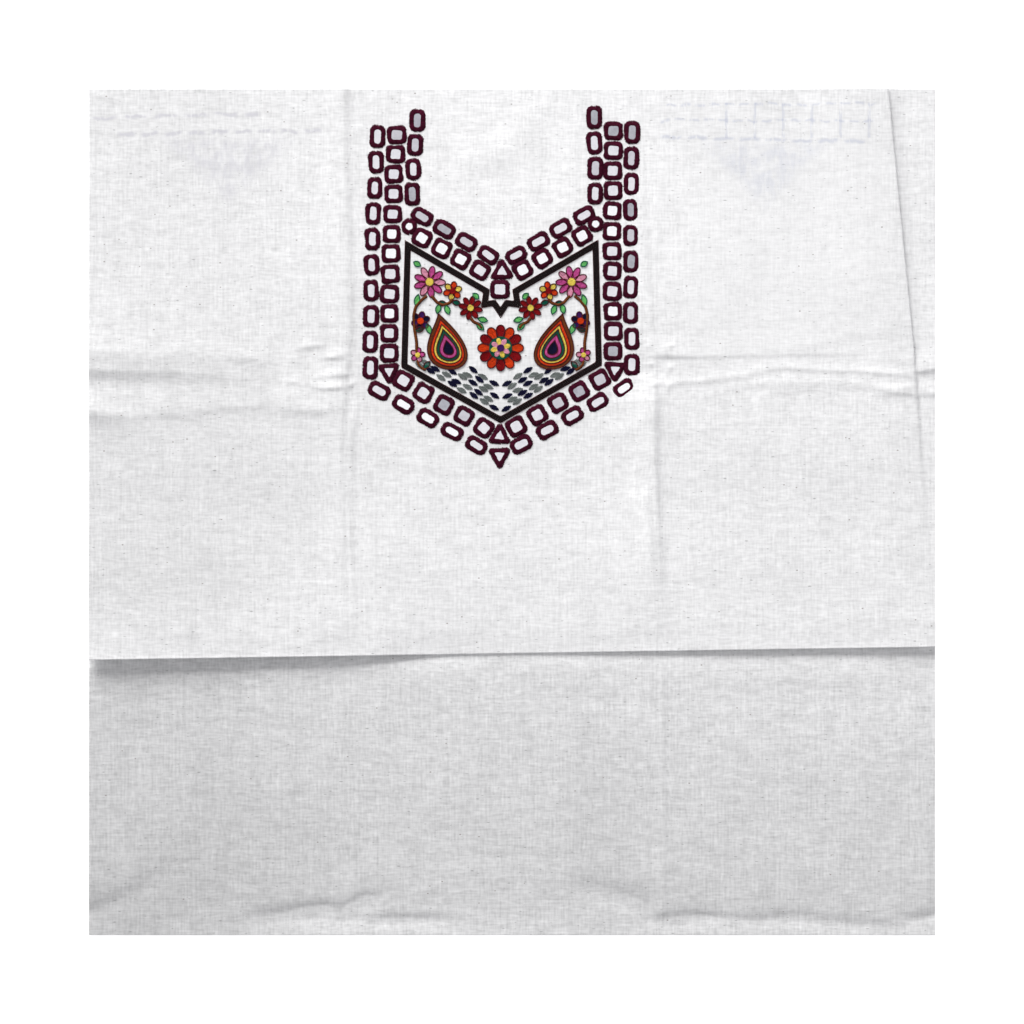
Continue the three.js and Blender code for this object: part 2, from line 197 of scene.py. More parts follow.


# %% [markdown]
# ## Creases placed one by one
#
# The cloth was folded small before it was laid out, so it keeps pressed lines: two upright ones beside
# the yoke, one right across at each side, and a run of short ones near the lower edge. Each is a soft
# ridge along a line of a few points, each point with its own rise; a rise under zero makes a trough.
# `left` and `right` are the widths on either hand when walking along the line, because a pressed crease
# is steeper on one side.

# %% The main creases
TOP_CREASES = [
    dict(left=30, right=6.5, line=[
        (-440, 97.5, 1.5), (-382, 97.5, 1.3), (-352, 98.5, 1.3), (-312, 102, 1.1), (-272, 107, 0.9),
        (-242, 108, 0.9), (-214, 103, 1.6), (-196, 102, 1.5), (-180, 104, 0.9), (-164, 107, 0)]),
    dict(left=14, right=13, line=[
        (-440, 161, 1.6), (-390, 160, 1.3), (-330, 158, 1.0), (-250, 156, 0.9), (-200, 153, 0)]),
    dict(left=60, right=9, line=[
        (-440, 143.5, 4.0), (-400, 142.5, 3.3), (-350, 142, 2.9), (-315, 140, 1.9), (-270, 137, 0.9),
        (-230, 134, 0)]),
    dict(left=12, right=14, line=[(-440, 110, 1.8), (-405, 97, 1.8), (-372, 82, 1.2), (-345, 70, 0)]),
    dict(left=9, right=2.2, line=[
        (-226, 159, 0), (-206, 165, 1.0), (-194, 166.5, 0.9), (-183, 167, 0)]),
    dict(left=8, right=2.2, line=[
        (-192, 154, 0), (-180, 154.5, 1.1), (-170, 155, 0.8), (-164, 155, 0)]),
    dict(left=6, right=2.2, line=[
        (-210, 128, 0), (-190, 123.5, 1.0), (-176, 124, 1.0), (-163, 126, 0)]),
    dict(left=6, right=2.6, line=[
        (-196, 134, 0), (-179, 137, 1.1), (-168, 137.5, 1.0), (-162, 138, 0)]),
    dict(left=7, right=2.4, line=[(-234, 130, 0), (-218, 129.5, 0.7), (-204, 129, 0)]),
    dict(left=6, right=3, line=[(-284, 154, 0), (-268, 154, 0.6), (-248, 153, 0)]),
    dict(left=4, right=2.2, line=[(-169, 121, 0), (-161, 127, 1.2), (-154, 133, 0)]),
    dict(left=14, right=2.4, line=[
        (136, 157, 0.3), (150, 156.5, 1.4), (165, 156, 1.2), (190, 156, 0.6), (240, 157, 0.55),
        (300, 158.5, 0.5), (350, 159, 0.3), (380, 160, 0)]),
    dict(left=9, right=4, line=[(255, 162, 0), (310, 170, 0.3), (382, 184, 0.5), (400, 186, 0)]),
    dict(left=5, right=2.8, line=[
        (142, 128, 0.6), (190, 131, 0.7), (228, 135.5, 0.7), (268, 145, 0.6), (308, 142, 0.7),
        (348, 141, 0.7), (383, 138, 0.8), (402, 136, 0.3)]),
    dict(left=6, right=4, line=[
        (215, 127, 0), (228, 127, 0.4), (308, 130, 0.5), (348, 130, 0.4), (365, 131, 0)]),
    dict(left=14, right=3, line=[
        (255, 120, 0), (268, 121, 0.5), (320, 124, 0.2), (345, 126, 0.5), (383, 120, 0.7),
        (406, 118, 0.6)]),
    dict(left=15, right=2.8, line=[(398, 140, 0.5), (410, 141.5, 2.0), (440, 146, 2.0)]),
    dict(left=8, right=3, line=[(404, 117, 0.3), (414, 117.5, 0.9), (440, 119, 0.9)]),
    dict(left=16, right=40, line=[
        (141, 140, 0), (141.5, 112, 2.2), (143, 12, 2.2), (146, -28, 1.8), (148, -90, 1.0),
        (149, -128, 0)]),
    dict(left=4.5, right=20, line=[
        (141, 140, 0), (141.5, 112, 2.7), (142, 52, 2.7), (143.5, 12, 2.8), (146, -28, 2.4),
        (147, -68, 1.5), (152, -108, 0.9), (153, -128, 0)]),
    dict(left=4, right=9, line=[
        (137, 24, 0), (133, 12, 1.5), (137, -28, 1.6), (141, -68, 1.3), (144, -92, 0)]),
    dict(left=4, right=12, line=[
        (127, 345, 0), (129, 312, 1.1), (132, 262, 1.1), (136, 212, 1.3), (141, 172, 1.1),
        (143, 150, 0.6)]),
    dict(left=4.5, right=18, line=[
        (-168, 440, 2.7), (-168, 385, 2.0), (-167, 340, 1.4), (-165, 262, 1.9), (-163, 212, 1.9),
        (-164.5, 172, 1.9), (-168, 130, 1.6), (-171, 92, 2.0), (-171, -30, 2.0), (-170, -70, 1.2),
        (-167, -128, 0.8)]),
    dict(left=4.5, right=6, line=[
        (-160, 110, 0), (-160, 92, 1.3), (-163, 50, 1.4), (-162, -30, 1.3), (-159, -80, 1.1),
        (-158, -128, 0)]),
    dict(left=70, right=140, line=[(-460, 104, 2.6), (-250, 102, 2.2), (-150, 96, 0)]),
    dict(left=9, right=6, line=[(85, 56, 0), (110, 74, 0.8), (140, 98, 0.6)]),
    dict(left=22, right=11, line=[
        (-58, 345, 0), (-30, 352, 1.5), (-6, 358, 1.3), (18, 380, 1.2), (32, 410, 1.0),
        (40, 440, 0.6)]),
]
LOW_CREASES = [
    dict(left=45, right=34, line=[(-440, -366, 1.5), (440, -366, 1.5)]),
    dict(left=26, right=26, line=[
        (-440, -434, 0.8), (-330, -434, 1.6), (-250, -434, 2.4), (440, -434, 2.4)]),
    dict(left=7, right=13, line=[
        (-268, -406, -0.6), (-225, -402, -3.0), (-190, -398, -4.8), (-170, -401, -4.6),
        (-146, -388, -3.2), (-130, -383, -0.6)]),
    dict(left=4.5, right=9, line=[
        (-160, -409, 0), (-140, -408, -2.4), (-80, -407, -2.1), (-46, -406, 0)]),
    dict(left=13, right=11, line=[
        (52, -368, 0), (84, -378, -2.4), (112, -388, -3.2), (134, -394, -2.2), (146, -400, 0)]),
    dict(left=6, right=10, line=[
        (126, -406, -0.8), (152, -409, -2.6), (166, -407, -3.4), (198, -404, -2.4), (216, -407, -1.8),
        (248, -408, -1.9), (288, -405, -2.4), (328, -411, -1.7), (374, -414, -1.7), (388, -414, 0)]),
    dict(left=6, right=9, line=[(384, -411, 0), (400, -408, -2.5), (440, -400, -2.5)]),
    dict(left=6, right=16, line=[
        (-440, -407, -1.5), (-390, -385, -1.6), (-346, -358, -1.1), (-328, -350, 0)]),
    dict(left=5, right=5, line=[(-306, -353, 0), (-270, -370, -0.6), (-228, -388, 0)]),
    dict(left=4, right=4, line=[(-104, -386, 0), (-60, -366, 0.6), (-16, -346, 0)]),
    dict(left=4, right=4, line=[(8, -346, 0), (35, -360, 0.6), (62, -374, 0)]),
    dict(left=7, right=6, line=[(148, -312, 0), (184, -328, 0.8), (218, -342, 0)]),
    dict(left=3, right=2.2, line=[(150, -150, 0.7), (151, -400, 0.7)]),
    dict(left=9, right=6, line=[(6, -186, 0), (40, -186, -0.6), (150, -190, -0.6), (194, -190, 0)]),
    dict(left=12, right=14, line=[(160, -164, 0), (200, -164, 0.8), (360, -164, 0.7), (400, -164, 0)]),
    dict(left=3, right=5, line=[(-262, -302, 0), (-224, -274, 0.6), (-184, -245, 0)]),
    dict(left=3, right=3, line=[(-104, -262, 0), (-76, -282, -0.4), (-48, -302, 0)]),
]


def crease_height(table, x, y):
    total = 0 * x
    for crease in table:
        nearest, rise, hand = 0 * x + 1e6, 0 * x, 0 * x
        for (x1, y1, rise1), (x2, y2, rise2) in zip(crease["line"][:-1], crease["line"][1:]):
            run_x, run_y = x2 - x1, y2 - y1
            share = np.clip(((x - x1) * run_x + (y - y1) * run_y) / (run_x ** 2 + run_y ** 2), 0, 1)
            gap = np.hypot(x - x1 - share * run_x, y - y1 - share * run_y)
            closer = gap < nearest
            nearest = np.where(closer, gap, nearest)
            rise = np.where(closer, blend(rise1, rise2, share), rise)
            hand = np.where(closer, (y - y1) * run_x - (x - x1) * run_y, hand)
        half = np.where(hand > 0, crease["left"], crease["right"])
        total = total + rise * np.exp(-(nearest / half) ** 1.7)
    return total


print("creases above", len(TOP_CREASES), "and below", len(LOW_CREASES))

# %% [markdown]
# ## Small wrinkles
#
# Where two creases cross, and along the stitched edges of the yoke, the cotton crumples into short
# wrinkles. They are too many to place one by one, so each patch states how many it holds, how long they
# are and which way they run, and a seeded draw puts them down, the same every time.

# %% Patches of wrinkles
WRINKLE_PATCHES = [
    dict(x1=-236, x2=-158, y1=126, y2=174, count=7, long=20, rise=0.6, run=10, spread=30),
    dict(x1=-172, x2=-152, y1=120, y2=365, count=26, long=13, rise=0.6, run=35, spread=25),
    dict(x1=134, x2=160, y1=122, y2=170, count=9, long=18, rise=0.9, run=60, spread=50),
    dict(x1=366, x2=414, y1=116, y2=146, count=7, long=26, rise=1.0, run=-8, spread=25),
    dict(x1=128, x2=150, y1=170, y2=320, count=10, long=14, rise=0.5, run=-35, spread=25),
    dict(x1=-170, x2=-146, y1=-110, y2=110, count=7, long=16, rise=0.4, run=70, spread=30),
]
wrinkles = []
for patch in WRINKLE_PATCHES:
    for _ in range(patch["count"]):
        middle_x = chance.uniform(patch["x1"], patch["x2"])
        middle_y = chance.uniform(patch["y1"], patch["y2"])
        way = math.radians(patch["run"] + chance.uniform(-1, 1) * patch["spread"])
        half = patch["long"] * chance.uniform(0.3, 0.6)
        step_x, step_y = half * math.cos(way), half * math.sin(way)
        rise = patch["rise"] * chance.uniform(0.5, 1.1)
        wrinkles.append(dict(
            left=chance.uniform(2, 3.4), right=chance.uniform(2, 3.4),
            line=[
                (middle_x - step_x, middle_y - step_y, 0),
                (middle_x, middle_y + chance.uniform(-2, 2), rise),
                (middle_x + step_x, middle_y + step_y, 0),
            ]))
print("wrinkles", len(wrinkles))


# %% [markdown]
# ## Slow waves
#
# Even the plain parts of a laid cloth are never dead flat. A handful of long waves, drawn once from the
# seeded numbers, lift it by about a millimetre outside the yoke. Under the yoke the cloth stays
# level, just below the glass, because the mirrors sit on it.

# %% Slow waves outside the yoke
WAVES = [
    dict(length=chance.uniform(70, 210), way=chance.uniform(0, math.pi), phase=chance.uniform(0, 6.28))
    for _ in range(9)
]
YOKE = dict(left=-152, right=128, low=36, high=423, fade=26)
YOKE_LIFT = 0.62


def slow_waves(x, y):
    total = 0 * x
    for wave in WAVES:
        run = x * math.cos(wave["way"]) + y * math.sin(wave["way"])
        total = total + np.sin(2 * math.pi * run / wave["length"] + wave["phase"])
    return 0.9 + 0.11 * total


def outside_yoke(x, y):
    gap_x = np.maximum(YOKE["left"] - x, x - YOKE["right"])
    gap_y = np.maximum(YOKE["low"] - y, y - YOKE["high"])
    return smooth(np.maximum(gap_x, gap_y), 0, YOKE["fade"])


def lie(kind, x, y):
    """Height of the creases and waves over a point of one layer."""
    swell = blend(YOKE_LIFT, slow_waves(x, y), outside_yoke(x, y))
    if kind in ("panel", "top"):
        fine = crease_height(wrinkles, x, y) * np.clip(outside_yoke(x, y) * 3, 0.15, 1)
        return np.maximum(swell + crease_height(TOP_CREASES, x, y) + fine, 0)
    if kind in ("floor", "below"):
        return np.maximum(swell + crease_height(LOW_CREASES, x, y), 0)
    return 0 * x


print("waves", len(WAVES))

# %% [markdown]
# ## The cloth as one closed sheet
#
# The rows and columns are closer together where the cloth bends sharply, and wider where it lies flat.
# Each side of the sheet is then moved half its thickness along the bend's own normal, and a rim closes
# the cut edges.

# %% Rows and columns of the sheet
def steps(*stretches):
    """Places from one end to the other of each stretch, with about its own step."""
    places = []
    for start, stop, step in stretches:
        count = max(1, round(abs(stop - start) / step))
        places += list(np.linspace(start, stop, count, endpoint=False))
    return places + [stretches[-1][1]]


RIM = HALF_SIDE - 0.5
climb = ACROSS_UNDERLAP + ACROSS_REST + ACROSS_RAMP
rows = [("panel", y) for y in steps((HALF_SIDE, RIM, 0.5), (RIM, 176, 5.6), (176, 92, 1.4), (92, 40, 5.5))]
rows += [("top", off) for off in steps((climb, 78, 4.5), (78, 10, 4.5), (10, 1.4, 2.2))]
rows += [("edge", a) for a in np.linspace(0, math.pi, 8)]
rows += [("under", off) for off in np.linspace(10, 62, 6)]
rows += [("tuck", a) for a in np.linspace(0, math.pi, 7)]
rows += [("floor", off) for off in (50, 20, 4, -2, -7, -13)]
rows += [("below", y) for y in steps((-166, -372, 6), (-372, -RIM, 2.2), (-RIM, -HALF_SIDE, 0.5))]
columns = [("panel", x) for x in steps(
    (-HALF_SIDE, -RIM, 0.5), (-RIM, -240, 6.6), (-240, -182, 4), (-182, -144, 1.7),
    (-144, 126, 6.4), (126, 164, 1.8), (164, SIDE_START, 6))]
columns += [("ramp", s) for s in np.linspace(0, 1, 14)[1:]]
columns += [("edge", s) for s in np.linspace(0, 1, 8)[1:]]
columns += [("tuck", s) for s in np.linspace(0, 1, 8)]
columns += [("sliver", s) for s in (0.3, 0.6, 1, 1.12, 1.22, 1.32, 1.42, 1.52, 1.65, 1.8, 1.99, 2)]
print("rows", len(rows), "columns", len(columns), "triangles", 4 * (len(rows) - 1) * (len(columns) - 1))


# %% Lay every crossing of the grid
PLEAT_MIDDLE = 410


def lay_cloth():
    grid = np.zeros((len(rows), len(columns), 3))
    guess = np.array([p if k == "panel" else PLEAT_MIDDLE for k, p in columns], float)
    for i, row in enumerate(rows):
        y_first, _, _ = across_row(row, guess)
        side = [side_column(k, p, y_first[j]) for j, (k, p) in enumerate(columns)]
        x = np.array([float(s[0]) for s in side])
        side_height = np.array([float(s[1]) for s in side])
        y, height, share = across_row(row, x)
        grid[i, :, 0], grid[i, :, 1] = x, y
        grid[i, :, 2] = CLOTH_THICK / 2 + height + side_height + share * lie(row[0], x, y)
    return grid


cloth_grid = lay_cloth()
print("cloth stands", round(cloth_grid[..., 2].max(), 1), "mm high")


# %% Write a mesh from arrays
def mesh_from_arrays(name, points, faces, colours=None, along=None):
    """One object from points in millimetres and a list of face arrays, each with one number of corners."""
    mesh = bpy.data.meshes.new(name)
    corners = np.concatenate([f.ravel() for f in faces]).astype(np.int32)
    counts = np.concatenate([np.full(len(f), f.shape[1]) for f in faces]).astype(np.int32)
    mesh.vertices.add(len(points))
    mesh.vertices.foreach_set("co", (np.asarray(points) * MM).astype(np.float32).ravel())
    mesh.loops.add(len(corners))
    mesh.loops.foreach_set("vertex_index", corners)
    mesh.polygons.add(len(counts))
    mesh.polygons.foreach_set("loop_start", (np.cumsum(counts) - counts).astype(np.int32))
    mesh.polygons.foreach_set("use_smooth", np.ones(len(counts), bool))
    if colours is not None:
        layer = mesh.color_attributes.new("thread", "FLOAT_COLOR", "POINT")
        rgba = np.concatenate([colours, np.ones((len(colours), 1))], axis=1)
        layer.data.foreach_set("color", rgba.astype(np.float32).ravel())
    if along is not None:
        layer = mesh.uv_layers.new(name="along")
        layer.data.foreach_set("uv", np.asarray(along)[corners].astype(np.float32).ravel())
    mesh.update(calc_edges=True)
    mesh.validate()
    piece = bpy.data.objects.new(name, mesh)
    bpy.context.scene.collection.objects.link(piece)
    return piece


# %% Close the grid into a sheet
def shared_way(grid, axis):
    """Direction of the grid along one axis, shared between neighbours, and its shortening at a turn."""
    gap = unit(np.diff(grid, axis=axis))
    first, last = np.take(gap, [0], axis), np.take(gap, [-1], axis)
    total = np.concatenate([first, gap], axis) + np.concatenate([gap, last], axis)
    length = np.linalg.norm(total, axis=2, keepdims=True)
    return total / np.maximum(length, 1e-9), length / 2


def close_sheet(grid, thick):
    high, wide = grid.shape[:2]
    down, down_cos = shared_way(grid, 0)
    right, right_cos = shared_way(grid, 1)
    normal = np.cross(down, right)
    normal[:, [0, -1], 0] = 0
    normal[[0, -1], :, 1] = 0
    normal = unit(normal)
    half = thick / 2 / np.maximum(down_cos * right_cos, 0.7)
    points = np.concatenate([(grid + normal * half).reshape(-1, 3), (grid - normal * half).reshape(-1, 3)])
    number = np.arange(high * wide).reshape(high, wide)
    under = number + high * wide
    a, b, c, d = number[:-1, :-1], number[1:, :-1], number[1:, 1:], number[:-1, 1:]
    e, f, g, h = under[:-1, :-1], under[1:, :-1], under[1:, 1:], under[:-1, 1:]
    quads = [np.stack([a, b, c, d], -1).reshape(-1, 4), np.stack([e, h, g, f], -1).reshape(-1, 4)]
    for upper, lower, flip in (
        (number[0], under[0], False), (number[-1], under[-1], True),
        (number[:, 0], under[:, 0], True), (number[:, -1], under[:, -1], False),
    ):
        rim = np.stack([upper[:-1], upper[1:], lower[1:], lower[:-1]], -1)
        quads.append(rim[:, ::-1] if flip else rim)
    return points, [np.concatenate(quads)]


sheet_points, sheet_faces = close_sheet(cloth_grid, CLOTH_THICK)
cloth = mesh_from_arrays("cotton_length", sheet_points, sheet_faces)
print("cotton", len(sheet_points), "points")

# %% [markdown]
# ## A stitch
#
# Everything sewn on this cloth is made of one thing: a short length of thread that comes up through the
# cotton, lies over it and goes down again. One stitch here is a flattened tube, thin at both ends where
# the thread dives in and arched in the middle. Thousands of them as separate objects would be slow, so
# whole runs are worked out as arrays and written as one mesh, each stitch with its own colour.

# %% A run of stitches as one mesh
STITCH_ALONG = np.array([0, 0.14, 0.5, 0.86, 1.0])
STITCH_WIDTH = np.array([0.7, 0.96, 1.0, 0.96, 0.7])
STITCH_SIDES = 5


def tube_faces(count):
    """Quads and end caps of a number of equal tubes."""
    length, sides = len(STITCH_ALONG), STITCH_SIDES
    number = np.arange(count * length * sides).reshape(count, length, sides)
    turned = np.roll(number, -1, axis=2)
    quads = np.stack([number[:, :-1], number[:, 1:], turned[:, 1:], turned[:, :-1]], -1)
    caps = np.concatenate([number[:, 0, :], number[:, -1, ::-1]])
    return [quads.reshape(-1, 4), caps]


def sew(name, start, stop, wide, tall, arch, colour):
    """Stitches from start to stop, in millimetres, as one object."""
    start, stop = np.asarray(start, float), np.asarray(stop, float)
    count = len(start)
    wide, tall, arch = (np.broadcast_to(np.asarray(v, float), (count,)) for v in (wide, tall, arch))
    run = stop - start
    length = np.linalg.norm(run, axis=1, keepdims=True)
    run = run / np.maximum(length, 1e-6)
    side = unit(np.cross(run, [0.0, 0.0, 1.0]))
    up = np.cross(side, run)
    t = STITCH_ALONG[None, :, None]
    spine = start[:, None] * (1 - t) + stop[:, None] * t
    bow = 1 - np.abs(2 * STITCH_ALONG - 1) ** 2.4
    spine = spine + up[:, None] * (arch[:, None] * bow[None])[..., None]
    angle = np.arange(STITCH_SIDES) * 2 * math.pi / STITCH_SIDES
    across = wide[:, None] / 2 * STITCH_WIDTH[None]
    above = tall[:, None] / 2 * STITCH_WIDTH[None]
    points = (
        spine[:, :, None]
        + side[:, None, None] * (across[..., None] * np.cos(angle))[..., None]
        + up[:, None, None] * (above[..., None] * np.sin(angle))[..., None]
    )
    colours = np.repeat(np.asarray(colour, float), len(STITCH_ALONG) * STITCH_SIDES, axis=0)
    along = np.zeros((count, len(STITCH_ALONG), STITCH_SIDES, 2))
    along[..., 0] = (STITCH_ALONG[None] * length)[:, :, None]
    along[..., 1] = np.arange(STITCH_SIDES) / STITCH_SIDES
    return mesh_from_arrays(name, points.reshape(-1, 3), tube_faces(count), colours, along.reshape(-1, 2))


print("a stitch has", len(STITCH_ALONG) * STITCH_SIDES, "points")

# %% Thread colours
def dyed(red, green, blue):
    """A colour as mixed on a screen, from 0 to 255, turned into light."""
    share = np.array([red, green, blue]) / 255
    return np.where(share <= 0.04045, share / 12.92, ((share + 0.055) / 1.055) ** 2.4)


WINE, BLACK, CORD = dyed(69, 10, 35), dyed(32, 24, 25), dyed(84, 26, 36)
DARK_RED, ORANGE, YELLOW = dyed(140, 14, 22), dyed(222, 66, 22), dyed(246, 218, 96)
ROSE, PALE_ROSE, PURPLE = dyed(204, 84, 152), dyed(232, 158, 184), dyed(66, 28, 96)
GREEN, TEAL, BROWN = dyed(112, 198, 112), dyed(16, 88, 72), dyed(112, 60, 28)
NAVY, GREY = dyed(18, 18, 50), dyed(122, 128, 126)


def uneven(colour, count, spread=0.12):
    """The same thread over many stitches, a little lighter and darker from one to the next."""
    shade = 1 + spread * chance.normal(size=(count, 1))
    return np.clip(np.asarray(colour)[None] * np.clip(shade, 0.6, 1.5), 0, 1)


print("wine thread", WINE.round(3))

# %% [markdown]
# ## Where the mirrors lie
#
# The mirrors run in straight lines along the neck, the sides and the lower point of the yoke. Squares,
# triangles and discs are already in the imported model. Every run is written by its two ends, so the rings
# land on the glass that is there. The oblongs are too many to be separate solids, so they are cut here.

# %% Runs of mirrors
RUNS = [
    dict(shape="square", count=12, x1=-115.6, y1=377.5, x2=-123, y2=158.7, bow=-1.4, turn=0),
    dict(shape="square", count=12, x1=101.5, y1=381.2, x2=101.4, y2=160.6, bow=-1.2, turn=0),
    dict(shape="square", count=4, x1=-89.8, y1=274, x2=-32.2, y2=241.4, bow=0, turn=-29.5),
    dict(shape="square", count=4, x1=70.2, y1=276.1, x2=10.7, y2=242.4, bow=0, turn=29.5),
    dict(shape="square", count=1, x1=-11.4, y1=222.8, x2=-11.4, y2=222.8, bow=0, turn=0),
    dict(shape="square", count=5, x1=-108.7, y1=131, x2=-28.1, y2=84.4, bow=0, turn=-30),
    dict(shape="square", count=5, x1=88.2, y1=132.4, x2=4.1, y2=85.5, bow=0, turn=30),
    dict(shape="triangle", count=2, x1=-123, y1=140.2, x2=102.5, y2=142.2, bow=0, turn=180),
    dict(shape="triangle", count=2, x1=-10.2, y1=240.3, x2=-12.2, y2=75.9, bow=0, turn=0),
    dict(shape="triangle", count=1, x1=-12.2, y1=55.9, x2=-12.2, y2=55.9, bow=0, turn=180),
    dict(shape="disc", count=2, x1=-102.6, y1=285.7, x2=83.7, y2=287.9, bow=0, turn=0),
    dict(shape="oblong", count=10, x1=-134.4, y1=375.5, x2=-141.6, y2=144.2, bow=-2, turn=0),
    dict(shape="oblong", count=10, x1=120, y1=379.6, x2=119.8, y2=147.4, bow=-1.2, turn=0),
    dict(shape="oblong", count=4, x1=-94.6, y1=391.4, x2=-100, y2=317.5, bow=-0.6, turn=0),
    dict(shape="oblong", count=4, x1=82.6, y1=394, x2=83.4, y2=318.5, bow=0, turn=0),
    dict(shape="oblong", count=4, x1=-89.8, y1=295.5, x2=-24, y2=256.7, bow=0, turn=59.5),
    dict(shape="oblong", count=4, x1=71.9, y1=296.5, x2=3.5, y2=257.1, bow=0, turn=-59.5),
    dict(shape="oblong", count=5, x1=-132.6, y1=121.2, x2=-35.7, y2=66.7, bow=0, turn=60),
    dict(shape="oblong", count=5, x1=111.3, y1=123.8, x2=10.2, y2=68.1, bow=0, turn=-60),
]
OPENING = dict(
    square=dict(wide=10.1, high=9.6, round=2.4, outer=4.9),
    oblong=dict(wide=6.7, high=13.6, round=3.0, outer=5.8),
    triangle=dict(wide=10.5, high=9.5, round=0.9, outer=2.9),
    disc=dict(wide=7.4, high=7.4, round=3.6, outer=7.6),
)
RING_BAND = 4.6
settings = []
for run in RUNS:
    for n in range(run["count"]):
        share = n / (run["count"] - 1) if run["count"] > 1 else 0
        settings.append(dict(
            shape=run["shape"], turn=run["turn"],
            x=blend(run["x1"], run["x2"], share) + run["bow"] * math.sin(math.pi * share),
            y=blend(run["y1"], run["y2"], share),
        ))
print("mirrors", len(settings))


# %% [markdown]
# ## Cutting outlines
#
# An outline with round corners comes from walking round its corners and swinging an arc at each one. A
# ring needs two of them, one round the opening and one round the outside, with the same number of
# points, so that a stitch can run from each point of the first to the matching point of the second.

# %% Rounded outlines with evenly spaced places
def corner_points(shape, wide, high):
    if shape == "triangle":
        return np.array([[-wide / 2, -high / 3], [wide / 2, -high / 3], [0, high * 2 / 3]])
    return np.array([[-wide, -high], [wide, -high], [wide, high], [-wide, high]]) / 2


def rounded(corners, radius, offset, arc_steps=9):
    """Points of an outline with its sides moved outward by offset and its corners then rounded."""
    points = []
    for n, corner in enumerate(corners):
        before = unit(corners[n - 1] - corner)
        after = unit(corners[(n + 1) % len(corners)] - corner)
        half = math.acos(np.clip(before @ after, -1, 1)) / 2
        middle = unit(before + after)
        centre = corner + middle * (radius - offset) / math.sin(half)
        first = math.atan2(-middle[1], -middle[0]) - (math.pi / 2 - half)
        for k in range(arc_steps):
            angle = first + (math.pi - 2 * half) * k / (arc_steps - 1)
            points.append(centre + radius * np.array([math.cos(angle), math.sin(angle)]))
    return np.array(points)


def evenly(inner, outer, spacing):
    """Pairs of places on two matching outlines, evenly spaced along the line between them."""
    inner, outer = np.concatenate([inner, inner[:1]]), np.concatenate([outer, outer[:1]])
    gaps = np.linalg.norm(np.diff((inner + outer) / 2, axis=0), axis=1)
    length = np.concatenate([[0], np.cumsum(gaps)])
    count = int(round(length[-1] / spacing))
    at = np.arange(count) * length[-1] / count
    return [np.stack([np.interp(at, length, line[:, k]) for k in (0, 1)], -1) for line in (inner, outer)]


def turned(points, degrees):
    c, s = math.cos(math.radians(degrees)), math.sin(math.radians(degrees))
    return points @ np.array([[c, s], [-s, c]])


def raised(flat, height):
    """Places in the plane, all lifted to one height."""
    return np.concatenate([flat, np.full((len(flat), 1), height)], axis=1)


print("a rounded square has", len(rounded(corner_points("square", 10, 10), 2, 0)), "points")

# %% [markdown]
# ## The stitched rings
#
# Each mirror is held by satin stitches in dark wine thread, laid side by side from the glass out to the
# cotton. They are sewn by hand, so no ring is a true rectangle: each gets its own slight turn, size and
# wobble.

# %% Sew the rings
GLASS_TOP = 2.6
CLOTH_TOP = CLOTH_THICK + YOKE_LIFT
RING_SPACING = 0.95
RING_LEAN = 0.35
RING_THREAD = dict(wide=1.3, tall=0.8, arch=0.4)
ring_starts, ring_stops = [], []
for setting in settings:
    opening = OPENING[setting["shape"]]
    grow = 1 + 0.035 * chance.normal(size=2)
    corners = corner_points(setting["shape"], opening["wide"] * grow[0], opening["high"] * grow[1])
    inner, outer = evenly(
        rounded(corners, opening["round"], 0), rounded(corners, opening["outer"], RING_BAND), RING_SPACING)
    count = len(inner)
    way = unit(outer - inner)
    angle = np.arctan2(way[:, 1], way[:, 0])
    wobble = sum(chance.normal(0, 0.14) * np.cos(k * angle + chance.uniform(0, 6.28)) for k in (2, 3, 4, 5))
    outer = outer + way * (wobble + 0.2 * chance.normal(size=count))[:, None]
    inner = inner - way * (0.5 * wobble + 0.1 * chance.normal(size=count))[:, None]
    lean = left_of(way) * RING_LEAN
    turn = setting["turn"] + 2 * chance.normal()
    centre = np.array([setting["x"], setting["y"]]) + chance.normal(0, 0.25, 2)
    inner, outer = turned(inner - lean, turn) + centre, turned(outer + lean, turn) + centre
    ring_starts.append(raised(inner, GLASS_TOP + 0.3))
    ring_stops.append(raised(outer, CLOTH_TOP))

ring_pieces = []
for part in range(3):
    starts = np.concatenate(ring_starts[part::3])
    stops = np.concatenate(ring_stops[part::3])
    shades = uneven(WINE, len(starts), 0.2)
    ring_pieces.append(sew("mirror_rings_%d" % (part + 1), starts, stops, colour=shades, **RING_THREAD))
print("ring stitches", sum(len(s) for s in ring_starts))

# %% [markdown]
# ## The oblong mirrors
#
# An oblong is a slip of silvered glass with its corners ground off. One flat prism would look like a
# sticker, so its upper edge gets a small ground slope, which catches the light as the real ones do.

# %% Cut the oblong glass
GLASS_FOOT = 1.6
GLASS_SLOPE = 0.25
OBLONG = dict(wide=9.4, high=16.2, round=3.0)
LEAN = 1.1


def cut_glass(centre, turn, lean_way):
    """Points of one slip: a lower outline, an upper outline and a smaller one on top."""
    base = corner_points("oblong", OBLONG["wide"], OBLONG["high"])
    rings = []
    for height, shrink in ((GLASS_FOOT, 0), (GLASS_TOP - GLASS_SLOPE, 0), (GLASS_TOP, -GLASS_SLOPE)):
        flat = turned(rounded(base, OBLONG["round"], shrink, 5), turn)
        tip = math.tan(math.radians(LEAN)) * (flat @ np.array([math.cos(lean_way), math.sin(lean_way)]))
        rings.append(np.concatenate([flat + centre, (height + tip)[:, None]], axis=1))
    return np.concatenate(rings)


